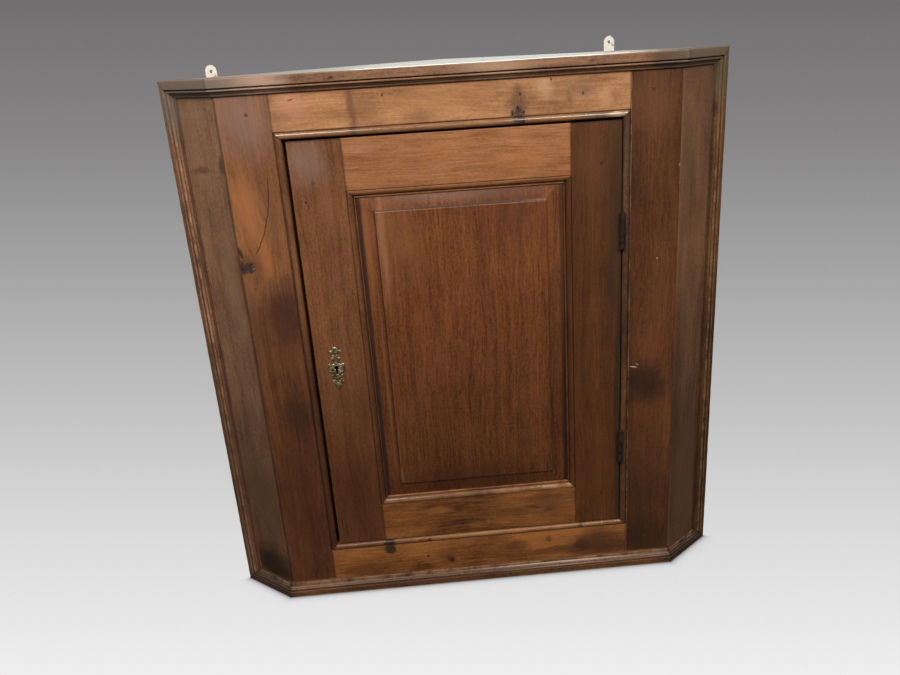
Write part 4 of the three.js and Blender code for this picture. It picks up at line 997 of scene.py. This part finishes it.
def mouldOutline(kind):
    # flat band, bead between two grooves, low step at the board
    wide, proud = mouldLook["width"], mouldLook["proud"]
    look = mouldLook[kind]
    outer, inner, crest, quirk, step = look["tones"]
    band, stepFrom = look["band"], look["step"]
    (beadFrom, beadTo), (stepHigh, stepLow) = look["bead"], look["low"]
    groove, foot, last = 0.68, 0.64, 0.98

    def scaled(rows):
        return [(w * wide, h * proud, cut * mm, tone) for w, h, cut, tone in rows]

    rows = [(0, 0, 0, 0), (0, 1, 0.7, outer), (band, 1, 0.4, inner),
            (band + 0.02, groove + 0.04, 0.1, quirk), (beadFrom, groove, 0, quirk)]
    ends = [(beadTo, foot - 0.02, 0.1, quirk), (stepFrom - 0.02, stepHigh + 0.04, 0.1, quirk),
            (stepFrom, stepHigh, 0.25, step)]
    ends += [(stepFrom + (last - stepFrom) * share, stepHigh + (stepLow - stepHigh) * share, 0.05, step)
             for share in (0.33, 0.67)]
    ends += [(last, stepLow, 0.2, step), (1, 0, 0, min(step, 0))]
    nose = arc((beadFrom * wide, groove * proud), (beadTo * wide, foot * proud), 0.16 * proud, 11, crest)
    return eased(scaled(rows) + nose + scaled(ends), 4 * mm)


gap = mouldLook["gap"]
for name, z, up, finish in (("cornice", caseTop, -1, "cornice"), ("base_moulding", 0, 1, "baseMoulding")):
    outline = mouldOutline(name)
    spot = place((0, face, z), (0, 0, up), (0, -1, 0), (1, 0, 0))
    woodPiece(name + "_front", [(*outline, (gap - arris, 0, -miter), (arris - gap, 0, miter), -0.3)],
              spot, finish, 50 + up)
    for side, label in bothSides:
        base = canted(side)
        spot = place(base[0] + (0, 0, z), (0, 0, up), -base[2], base[1])
        shell = (*outline, (gap, 0, -miter), (cantedWidth - gap, -1, faceTilt), -0.3)
        woodPiece(name + "_" + label, [shell], spot, finish, 60 + up + side)
for side, label in bothSides:
    base = canted(side)
    spot = place(base[0] + base[1] * cantedWidth, -base[1], -base[2] + base[1] * faceTilt, base[3])
    shell = (*mouldOutline("side_moulding"), (gap, 1, 0), (caseTop - gap, -1, 0), -0.3)
    woodPiece("side_moulding_" + label, [shell], spot, "sideMoulding" + label.capitalize(),
              70 + side, wear=mouldLook["sideWear"])
print("stage: case front")

# door
doorLook = {
    "left": 70.2 * mm, "right": 68.8 * mm, "top": 67.6 * mm, "bottom": 63.3 * mm,  # flat widths
    "sticking": 11 * mm, "quirk": 1.2 * mm, "quirkDepth": 1.6 * mm, "fillet": 2.4 * mm, "fall": 6.6 * mm,
    "ovolo": 1.3 * mm, "groove": 8 * mm, "grooveWide": 6.4 * mm, "grooveDeep": 7 * mm,
    "edgeEase": 0.7 * mm, "backEase": 0.6 * mm, "quirkEase": 0.2 * mm,
    "leafDeep": 1.55 * mm, "beyond": 2 * mm,  # depth of the leaves' recesses, and how far cutters stand out
}
sharpEdge, softEdge = 0.1 * mm, 0.3 * mm


def stickingOutline(flatWide, tone, fillet):
    # from the flat inward: quirk, ovolo, deep step, thin fillet, and the groove that holds the panel
    look = doorLook
    start, inner = flatWide, flatWide + look["sticking"]
    deep, fall, grooveNear = inner - look["grooveDeep"], look["fall"], look["groove"]
    grooveFar = grooveNear + look["grooveWide"]
    crest = (start + look["quirk"], 0.5 * mm)
    foot = (inner - look["fillet"] - 1 * mm, fall - 1.8 * mm)
    return eased([
        (start, doorThick, sharpEdge, 0), (start, look["quirkDepth"], sharpEdge, -1),
        (*crest, sharpEdge, tone / 2), *arc(crest, foot, -look["ovolo"], 9, tone), (*foot, 0, -1),
        (inner - look["fillet"] - 0.6 * mm, fall, sharpEdge, -1),
        (inner - look["fillet"], fall - 1.2 * mm, softEdge, fillet),
        (inner - 0.5 * mm, fall - 1 * mm, softEdge, fillet), (inner, grooveNear, sharpEdge, -1),
        (deep, grooveNear, sharpEdge, 0), (deep, grooveFar, sharpEdge, 0), (inner, grooveFar, sharpEdge, 0),
        (inner, doorThick, 0.4 * mm, 0)], 3 * mm)


def memberShells(flatWide, ends, tones):
    # a flat board, and the moulded strip that is mitred at both ends
    begin, end, innerBegin, innerEnd = ends
    tone, edgeTone, fillet = tones
    quirkEase = doorLook["quirkEase"]
    board = eased([(0, 0, doorLook["edgeEase"], edgeTone), (flatWide, 0, quirkEase, -0.7),
                   (flatWide, doorThick, quirkEase, 0), (0, doorThick, doorLook["backEase"], 0.2)], 5 * mm)
    strip = stickingOutline(flatWide, tone, fillet)
    return [(*board, flat(begin), flat(end), -0.6),
            (*strip, (innerBegin - flatWide, 1, 0), (innerEnd + flatWide, -1, 0), -0.6)]


keyX, _, keyZ = box("escutcheon").mean(0)
keyLook = {"bow": 3.2 * mm, "blade": 3 * mm, "drop": 9.5 * mm}


def keyholeShell(depthFrom, depthTo):
    # a round bow with a straight-sided blade hanging from it, from one depth to another
    bow, half = keyLook["bow"], keyLook["blade"] / 2
    mouth = math.asin(half / bow)
    angle = np.linspace(mouth - math.pi / 2, 1.5 * math.pi - mouth, 22)
    bowRing = bow * np.stack([np.cos(angle), np.sin(angle)], 1)
    points = np.concatenate([bowRing, [(-half, -keyLook["drop"]), (half, -keyLook["drop"])]])
    ring = np.zeros((2, len(points), 3))
    ring[:, :, [0, 2]] = points + [keyX, keyZ]
    ring[:, :, 1] = [[depthFrom], [depthTo]]
    return ring.reshape(-1, 3), ringFaces(2, len(points))


lockLow, lockHigh = box("lock_case")
quirkLeft, quirkRight = doorLeft + doorLook["left"], doorRight - doorLook["right"]
upright = (doorBottom, doorTop, doorBottom + doorLook["bottom"], doorTop - doorLook["top"])
level = (quirkLeft + jointGap, quirkRight - jointGap, quirkLeft, quirkRight)
beyond = doorLook["beyond"]
lockCuts = [pocket("lock_case", xFrom=doorLeft - beyond / 2, yTo=lockHigh[1] + beyond),
            keyholeShell(face - 2 * beyond, lockLow[1] + beyond / 2)]
hingeCuts = [
    pocket("hinge_door_leaf_" + hinge, doorRight - doorLook["leafDeep"], doorRight + beyond, leafFront)
    for hinge in ("upper", "lower")]
# the ovolo and fillet tones paint light and shade: dark where the sticking faces away from the light (top
# rail, left stile, left fillet), a painted highlight on the bottom rail's ovolo
doorParts = {  # place, flat width, ends of flat and strip, tones of ovolo, edge, fillet, finish, slot, cuts
    "door_stile_left": (
        standing(doorLeft, 1), "left", upright, (-0.5, 0.35, -1), "doorLeft", "oak_stile", lockCuts),
    "door_stile_right": (
        standing(doorRight, -1), "right", upright, (-0.2, -0.8, 0.3), "doorRight", "oak_stile", hingeCuts),
    "door_top_rail": (
        lying(doorTop, -1), "top", level, (-0.5, -0.2, 0.3), "doorTopRail", "oak_rail", ()),
    "door_bottom_rail": (
        lying(doorBottom, 1), "bottom", level, (0.6, -0.3, 0.3), "doorBottomRail", "oak_rail", ()),
}
for number, (name, (spot, wide, ends, tones, finish, slot, cuts)) in enumerate(doorParts.items()):
    woodPiece(name, memberShells(doorLook[wide], ends, tones), spot, finish, 80 + number, cuts=cuts,
              body="door")

panelLook = {
    "side": 29 * mm, "end": 25.5 * mm, "fieldBack": 3.6 * mm, "step": 1.4 * mm, "stepWide": 2.2 * mm,
    "edge": 8.4 * mm, "tongue": 14 * mm, "uneven": 0.25 * mm, "softerRight": 0.1, "softerBelow": 0.18, "softerShare": 0.45,
    "stepCurve": (0.72, 0.3, 0.08, 0, 0), "tones": (0, 0, 0, 0, 0, 0, 0, 0, -1, -0.6, 0.2, 0.9, 0.4, 0),
    "sharp": 45,
}


def panelPiece():
    # depth over a grid of x and z: rank is how far in from the nearer edge, counted in the lines of the
    # bevel and the step; depth falls along the bevel, then steps up to the flat field
    look = panelLook
    lowest, highest = box("door_panel")
    bevel = np.linspace(0, 1, 9)
    stepLines = np.linspace(0, 1, 6)[1:] * look["stepWide"]
    inside = np.linspace(0, 1, 40)[1:-1]
    count = len(look["tones"])

    def lines(axis, wide):
        # the grid's lines, and the rank of each
        edge = np.concatenate([bevel * wide, wide + stepLines])
        first, last = lowest[axis] + edge, highest[axis] - edge[::-1]
        values = np.concatenate([first, first[-1] + (last[0] - first[-1]) * inside, last])
        return values, np.interp(np.minimum(values - values[0], values[-1] - values), edge, np.arange(count))

    x, rankX = lines(0, look["side"])
    z, rankZ = lines(2, look["end"])
    rank = np.minimum(rankX[:, None], rankZ[None])
    edgeDepth, fieldDepth = face + look["edge"], face + look["fieldBack"]
    depths = np.concatenate([edgeDepth + (fieldDepth + look["step"] - edgeDepth) * bevel,
                             fieldDepth + look["step"] * np.array(look["stepCurve"])])
    y = np.interp(rank, np.arange(count), depths)
    tone = np.interp(rank, np.arange(count), look["tones"])
    # the field's right and bottom edges get weaker tones
    right, below = x > x.mean() + look["softerRight"], z < z.mean() - look["softerBelow"]
    tone *= np.where(right[:, None] | below[None], look["softerShare"], 1.0)
    grid = np.stack(np.broadcast_arrays(x[:, None], y, z[None]), -1)
    ripple = waves(grid.reshape(-1, 3), 91, 0.22).reshape(y.shape)
    grid[:, :, 1] += look["uneven"] * ripple * rank / (count - 1)
    back = grid.copy()
    back[:, :, 1] = np.where(rank > 2, highest[1], face + look["tongue"])
    index, quads = gridFaces(*y.shape)
    rim = np.concatenate([index[:-1, 0], index[-1, :-1], index[:0:-1, -1], index[0, :0:-1]])
    rimNext = np.roll(rim, -1)
    walls = np.stack([rim, rimNext, rimNext + index.size, rim + index.size], 1)
    quads = quads.reshape(-1, 4)
    faces = np.concatenate([quads, quads + index.size, walls]).tolist()
    world = np.concatenate([grid.reshape(-1, 3), back.reshape(-1, 3)])
    attributes = {"grain": world + 5.3, "edge": np.concatenate([tone.ravel(), np.zeros(index.size)])}
    mesh = meshFrom("door_panel_wood", world, faces, attributes, look["sharp"])
    finishObject("door_panel_wood", mesh, "panel", ["door_panel"], "door")


panelPiece()

pegLook = {
    "depths": (-0.35, -0.35, -0.2, 0.2, 18), "sizes": (0.55, 0.82, 0.95, 1, 0.9),
    "tones": (0, 0, -0.4, -1, 0), "lumps": (0.07, 0.05), "sides": 30,
}


def pegPiece(node, body, seed):
    # whittled pin: an uneven thirty-sided section carried into the wood, its end eased and a little proud
    look = pegLook
    lowest, highest = box(node)
    centre, radius = (lowest + highest) / 2, (highest[0] - lowest[0]) / 2
    angle = np.linspace(0, 2 * math.pi, look["sides"] + 1)[:-1]
    five, three = look["lumps"]
    lumps = 1 + five * np.sin(5 * angle + seed) + three * np.sin(3 * angle + 2 * seed)
    ring = np.stack([np.cos(angle), np.sin(angle)], 1) * (radius * lumps / lumps.max())[:, None]
    points = np.zeros((len(look["sizes"]), look["sides"], 3))
    points[:, :, [0, 2]] = centre[[0, 2]] + ring * np.array(look["sizes"])[:, None, None]
    points[:, :, 1] = face + np.array(look["depths"])[:, None] * mm
    world = points.reshape(-1, 3)
    attributes = {"grain": world[:, [0, 2, 1]] + seed, "edge": np.repeat(look["tones"], look["sides"])}
    mesh = meshFrom(node + "_wood", world, ringFaces(*points.shape[:2]), attributes)
    # the paler peg is the lit copy; elsewhere its painted-shade copy
    finish = "peg" if centre[0] < 0 and centre[2] > 0.3 else "pegShaded"  # paler on the upper left
    finishObject(node + "_wood", mesh, finish, [node], body)


for number, spotName in enumerate(("top_left", "top_right", "bottom_left", "bottom_right")):
    pegPiece("frame_peg_" + spotName, "case", number + 1.3)
    pegPiece("door_peg_" + spotName, "door", number + 6.1)
print("stage: door")

# metalwork, and boards that keep their node's own shape
easeLook = {"iron": 0.2 * mm, "steel": 0.25 * mm, "strike": 0.15 * mm, "plate": 0.3 * mm,
            "backBoard": 0.6 * mm, "bearer": 0.8 * mm, "angle": 35, "sharp": 30}


def mergedCopy(node):
    # a bmesh of the node's solid with its loose triangles joined; whoever asks for it frees it
    solid = bmesh.new()
    solid.from_mesh(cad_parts[node].data)
    bmesh.ops.remove_doubles(solid, verts=solid.verts, dist=1e-6)
    return solid


def easedCopy(node, finish, cut, body="case", grainAxes=None, seed=0):
    # the node's own shape with its sharp corners taken off; the third grain axis runs along a board
    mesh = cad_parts[node].data.copy()
    solid = mergedCopy(node)
    bmesh.ops.dissolve_limit(solid, angle_limit=math.radians(1), verts=solid.verts, edges=solid.edges)
    solid.to_mesh(mesh)
    solid.free()
    if grainAxes is not None:
        points = np.empty(3 * len(mesh.vertices))
        mesh.vertices.foreach_get("co", points)
        offset = np.random.default_rng(seed + 700).uniform(0, 9, 3)
        store(mesh, "grain", points.reshape(-1, 3) @ grainAxes.T + offset)
    shade(mesh, easeLook["sharp"])
    piece = finishObject(node + "_dressed", mesh, finish, [node], body)
    bevel = piece.modifiers.new("ease", "BEVEL")
    bevel.width = cut
    bevel.segments = 2
    bevel.limit_method = "ANGLE"
    bevel.angle_limit = math.radians(easeLook["angle"])
    bevel.harden_normals = False


for hinge in ("upper", "lower"):
    for node, body in (("hinge_frame_leaf_", "case"), ("hinge_door_leaf_", "door"), ("hinge_pin_", "case")):
        easedCopy(node + hinge, "iron", easeLook["iron"], body)
for node, body in (("lock_case", "door"), ("lock_cap", "door"), ("lock_bolt", "lock_bolt")):
    easedCopy(node, "steel", easeLook["steel"], body)
easedCopy("strike_plate", "steel", easeLook["strike"])


def plateMesh(name, distance, engraved, look, spot):
    # a flat plate from a signed distance over a grid: cells with a corner inside are kept, the outermost
    # corners are drawn onto the line where the distance is nought, and the front rounds off towards it
    cell, thick = look["cell"], look["thick"]
    halfWide, halfHigh = look["halfSize"]
    gridX, gridZ = np.meshgrid(np.arange(-halfWide, halfWide + cell, cell),
                               np.arange(-halfHigh, halfHigh + cell, cell), indexing="ij")
    value = distance(gridX, gridZ)
    inside = value < 0
    kept = inside[:-1, :-1] | inside[1:, :-1] | inside[1:, 1:] | inside[:-1, 1:]
    step = 0.05 * cell
    for _ in range(4):
        slopeX = (distance(gridX + step, gridZ) - distance(gridX - step, gridZ)) / (2 * step)
        slopeZ = (distance(gridX, gridZ + step) - distance(gridX, gridZ - step)) / (2 * step)
        length = slopeX ** 2 + slopeZ ** 2 + 1e-9
        outside = value >= 0
        gridX = np.where(outside, gridX - value * slopeX / length, gridX)
        gridZ = np.where(outside, gridZ - value * slopeZ / length, gridZ)
        value = np.where(outside, np.maximum(distance(gridX, gridZ), 1e-12), value)
    level = np.where(inside, np.clip(-value / look["rounding"], 0, 1), 0)
    depth = thick * (look["rim"] + (1 - look["rim"]) * np.sqrt(1 - (1 - level) ** 2))
    depth -= look["cutDeep"] * thick * np.exp(-(engraved(gridX, gridZ) / look["cutWide"]) ** 2)
    quads = gridFaces(*gridX.shape)[1][kept]
    count = gridX.size
    starts, ends = quads.ravel(), np.roll(quads, -1, 1).ravel()
    keys = np.minimum(starts, ends) * count + np.maximum(starts, ends)
    back, uses = np.unique(keys, return_inverse=True, return_counts=True)[1:]
    border = uses[back] == 1  # an edge with one face lies on the outline and gets a wall
    walls = np.stack([ends[border], starts[border], starts[border] + count, ends[border] + count], 1)
    faces = np.concatenate([quads, quads[:, ::-1] + count, walls])
    flatX, flatZ = gridX.ravel(), gridZ.ravel()
    front, rear = np.stack([flatX, -depth.ravel(), flatZ], 1), np.stack([flatX, 0 * flatX, flatZ], 1)
    local = np.concatenate([front, rear])
    used, remap = np.unique(faces.ravel(), return_inverse=True)
    return meshFrom(name, toWorld(local[used], spot), remap.reshape(-1, 4).tolist(), {}, look["sharp"])


def disc(x, z, centreX, centreZ, radius):
    # distance to a circle, below nought inside it
    return np.hypot(x - centreX, z - centreZ) - radius


def bar(x, z, startX, startZ, endX, endZ, startHalf=0.0, endHalf=0.0):
    # distance to a tapering rounded bar
    wayX, wayZ = endX - startX, endZ - startZ
    share = np.clip(((x - startX) * wayX + (z - startZ) * wayZ) / (wayX ** 2 + wayZ ** 2), 0, 1)
    away = np.hypot(x - startX - wayX * share, z - startZ - wayZ * share)
    return away - (startHalf + (endHalf - startHalf) * share)


def union(values, soft):
    # the lesser distance, blended over the breadth of soft where two are about equal
    total = values[0]
    for value in values[1:]:
        share = np.clip(0.5 + 0.5 * (total - value) / soft, 0, 1)
        total = total * (1 - share) + value * share - soft * share * (1 - share)
    return total


escutcheonLook = {
    "thick": 1.6 * mm, "cell": 0.42 * mm, "halfSize": (12.4 * mm, 32.8 * mm), "rounding": 1.2 * mm,
    "rim": 0.35, "cutDeep": 0.3, "cutWide": 0.55 * mm, "pins": [(0.0, 29.6, 1.7), (5.4, -17.4, 1.6)],
    # in mm, for the right half: discs are centre and radius, bars are two ends and two half widths
    "shapes": [
        (0, 29.4, 2.8), (6.3, 25.0, 2.6), (0, 28, 0, 20, 4.2, 4.6), (0, 20, 0, 10, 3.2, 3.6),
        (4.4, 14.6, 2.2), (0, 0, 5.4, -0.6, 7.4, 6.8), (9.6, 5.2, 2.0), (0, -4, 0, -16, 7.0, 5.4),
        (6.6, -11.6, 1.8), (5.6, -20.6, 2.8), (0, -14, 0, -25, 5.4, 4.4), (0, -25, 0, -31.6, 3.4, 0.8)],
    "holes": [(0, 0, 2.9), (0, 0, 0, -8.0, 1.4, 1.4), (3.2, 21.2, 0.8), (2.6, -17.6, 0.8)],
    "lines": [(6.6, -0.6, 3.6), (0, 18, 3.4, 23), (0, -22, 4.2, -17)], "blend": 1.2, "sharp": 50,
}


def escutcheonShapes(x, z, key):
    x, z = np.abs(x) / mm, z / mm
    return [(disc if len(shape) == 3 else bar)(x, z, *shape) for shape in escutcheonLook[key]]


def escutcheonDistance(x, z):
    # scrolled plate: three lobes, neck, broad oval round the keyhole, lower lobes, pointed tail; less holes
    holes = [-hole for hole in escutcheonShapes(x, z, "holes")]
    return np.maximum.reduce([union(escutcheonShapes(x, z, "shapes"), escutcheonLook["blend"])] + holes) * mm


def escutcheonLines(x, z):
    # distance to the scroll lines cut into the plate: a ring each side and a chevron above and below
    return np.abs(escutcheonShapes(x, z, "lines")).min(0) * mm


def domeShell(x, z, radius, risen, spot, seat=0.0):
    # a low dome turned about the depth direction
    angle = np.linspace(0, 2 * math.pi, 21)[:-1]
    share = radius * np.array([1.0, 1.0, 0.92, 0.72, 0.4])[:, None]
    heights = risen * np.array([0.0, 0.45, 0.72, 0.93, 1.0])[:, None]
    ring = np.zeros((len(share), len(angle), 3))
    ring[:, :, 0] = x + share * np.cos(angle)
    ring[:, :, 2] = z + share * np.sin(angle)
    ring[:, :, 1] = -(seat + heights)
    return toWorld(ring.reshape(-1, 3), spot), ringFaces(len(share), len(angle))


plateSpot = place((keyX, face - 0.15 * mm, keyZ), (1, 0, 0), (0, 1, 0), (0, 0, 1))
pieces = [plateMesh("escutcheon_brass", escutcheonDistance, escutcheonLines, escutcheonLook, plateSpot)]
for x, z, radius in escutcheonLook["pins"]:
    points, faces = domeShell(x * mm, z * mm, radius * mm, 1 * mm, plateSpot, 1.3 * mm)
    pieces.append(meshFrom("pin", points, faces, {}))
mesh = joined("escutcheon_brass", pieces, escutcheonLook["sharp"])
finishObject("escutcheon_brass", mesh, "brass", ["escutcheon"], "door")
for _, label in bothSides:
    easedCopy("hanging_plate_" + label, "cream", easeLook["plate"])
print("stage: metalwork")


# inside and back
def planOutline(node, ease=0.6 * mm, tone=0.5):
    # the five-sided plan of a board that fills the case: the node's corners that reach furthest some way
    solid = mergedCopy(node)
    points = np.array([vertex.co[:2] for vertex in solid.verts])
    solid.free()
    angle = np.radians(np.arange(0, 360, 1.0))
    ways = np.stack([np.cos(angle), np.sin(angle)], 1)
    reach = np.unique(np.argmax(points @ ways.T, 0))
    corners = np.unique(np.round(points[reach], 6), axis=0)
    middle = corners.mean(0)
    order = np.argsort(np.arctan2(corners[:, 1] - middle[1], corners[:, 0] - middle[0]))
    return eased([(x, y, ease, tone) for x, y in corners[order]], 20 * mm)


supports = ("top_board", "bottom_board", "shelf_lower", "shelf_upper")
worldAxes = place((0, 0, 0), (1, 0, 0), (0, 1, 0), (0, 0, 1))
for number, node in enumerate(supports):
    bottom, top = box(node)[:, 2]
    finish, slot = ("insideOak", "pine") if number else ("topPaint", "painted_top")
    shell = (*planOutline(node), flat(bottom), flat(top), 0)
    woodPiece(node, [shell], worldAxes, finish, 100 + number,
              grainAxes=((0, 1, 0), (0, 0, 1), (1, 0, 0)), uneven=0.0, wear=0.0)

nailLook = {"radius": 2.2 * mm, "risen": 0.7 * mm, "fromEdge": 14 * mm}
nails = []
for side, label in bothSides:
    spot = wall(side)
    for number in (1, 2, 3):
        node = "back_board_%s_%d" % (label, number)
        easedCopy(node, "pine", easeLook["backBoard"], grainAxes=spot[1:], seed=number + 3 * side)
        # nails through the board into the shelves, the top and the bottom
        near, far = sorted(np.abs(box(node)[:, 0]) * math.sqrt(2))
        for across in (near + nailLook["fromEdge"], far - nailLook["fromEdge"]):
            for support in supports:
                height = box(support)[:, 2].mean()
                nails.append(domeShell(across, height, nailLook["radius"], nailLook["risen"], spot))
    for tier in ("lower", "upper"):
        easedCopy("shelf_bearer_%s_%s" % (tier, label), "pine", easeLook["bearer"],
                  grainAxes=spot[[3, 2, 1]], seed=7 + side)
easedCopy("corner_post", "pine", easeLook["bearer"], grainAxes=np.eye(3), seed=11)
easedCopy("door_stop", "insideOak", easeLook["bearer"], grainAxes=np.eye(3), seed=12)
pieces = [meshFrom("nail", points, faces, {}) for points, faces in nails]
finishObject("back_nails", joined("back_nails", pieces), "iron", ())
print("stage: inside and back")

# studio
studio = {
    "floorSize": 90.0, "ambient": 0.3, "bounce": 0.05, "contact": 0.72, "contactReach": 4.5 * mm,
    "greys": [(113, 110, 111), (134, 132, 133), (164, 164, 164), (193, 193, 193), (220, 220, 220),
              (238, 238, 238)],
    # the grey's place on the ramp is a height over a distance: both directions, then what is added to each
    # and the least distance, for the floor and for the sky
    "rising": (-0.0703, 0.0656, -1.3072), "away": (0.049, 0.9304, -0.3631),
    "floor": (1.1234, 1.4973, 0.2), "sky": (0.0, 0.0, 0.05),
    "target": (0, -0.2, 0.4),
    "lights": {  # place, size and watts
        "key": ((-0.6, -1.35, 1.75), (0.8, 0.6), 20), "lamp": ((0.75, -1.75, 1.9), (0.9, 0.5), 27),
        "behind": ((0.3, 2.2, 1.2), (1.2, 0.8), 16)},
}
black = (0, 0, 0, 1)


def plain(value):
    return (value, value, value, 1)


def backdrop(tree, point, kind):
    # grey by how far off the place is: pale near the cupboard and darker far away
    addHeight, addDistance, least = studio[kind]
    height = maths(tree, "ADD", vectors(tree, "DOT_PRODUCT", point, studio["rising"]), addHeight)
    distance = maths(tree, "ADD", vectors(tree, "DOT_PRODUCT", point, studio["away"]), addDistance)
    share = maths(tree, "DIVIDE", height, maths(tree, "MAXIMUM", distance, least), clamp=True)
    made = addNode(tree, "ValToRGB", {"Fac": share})
    stops = made.color_ramp.elements
    greys = studio["greys"]
    while len(stops) < len(greys):
        stops.new(0.5)
    for number, grey in enumerate(greys):
        stops[number].position = number / (len(greys) - 1)
        stops[number].color = tint(*grey)
    return made.outputs["Color"]


floorMesh = bpy.data.meshes.new("floor")
reach = studio["floorSize"]
floorMesh.from_pydata([(-reach, -reach, 0), (reach, -reach, 0), (reach, reach, 0), (-reach, reach, 0)],
                      [], [[0, 1, 2, 3]])
floor = newObject("floor", floorMesh)
floorMaterial, tree, shader, where = newMaterial("paleFloor")
# a soft dark edge round the base: distance to the five sides of its plan, fading out by a power of e;
# the wall sides count three times as far off, so their shadow is shorter
proud, shorter = mouldLook["proud"], 3 * math.sqrt(0.5)
slant = arris * math.sin(cant) - face * math.cos(cant) + proud
sides = [((0, -1, 0), proud - face)]
for side, _ in bothSides:
    sides.append(((side * math.sin(cant), -math.cos(cant), 0), slant))
    sides.append(((side * shorter, shorter, 0), shorter * cornerY))
apart = 0.0
for way, out in sides:
    apart = maths(tree, "MAXIMUM", apart, minus(tree, vectors(tree, "DOT_PRODUCT", where, way), out))
fade = maths(tree, "POWER", math.e, maths(tree, "DIVIDE", apart, -studio["contactReach"]))
lit = minus(tree, 1.0, times(tree, fade, studio["contact"]))
pale = mixed(tree, lit, black, backdrop(tree, where, "floor"))
seen = addNode(tree, "LightPath").outputs["Is Camera Ray"]
feed(tree, shader, {
    "Emission Color": mixed(tree, seen, black, pale), "Emission Strength": 1.0,
    "Base Color": mixed(tree, seen, plain(studio["bounce"]), black), "Roughness": 1.0,
    "Specular IOR Level": 0.0})
floorMesh.materials.append(floorMaterial)

world = bpy.data.worlds.new("studio")
scene.world = world
world.use_nodes = True
tree = world.node_tree
seen = addNode(tree, "LightPath").outputs["Is Camera Ray"]
sky = backdrop(tree, addNode(tree, "TexCoord").outputs["Generated"], "sky")
feed(tree, tree.nodes["Background"].inputs, {"Color": mixed(tree, seen, plain(studio["ambient"]), sky)})

for name, (spot, size, watts) in studio["lights"].items():
    data = bpy.data.lights.new(name, "AREA")
    data.shape = "RECTANGLE"
    data.size, data.size_y = size
    data.energy = watts
    lamp = newObject(name, data)
    lamp.location = spot
    lamp.visible_camera = False
    way = np.array(studio["target"]) - spot
    lamp.rotation_euler = (math.atan2(math.hypot(way[0], way[1]), -way[2]), 0,
                           math.atan2(way[1], way[0]) - math.pi / 2)
print("stage: studio")
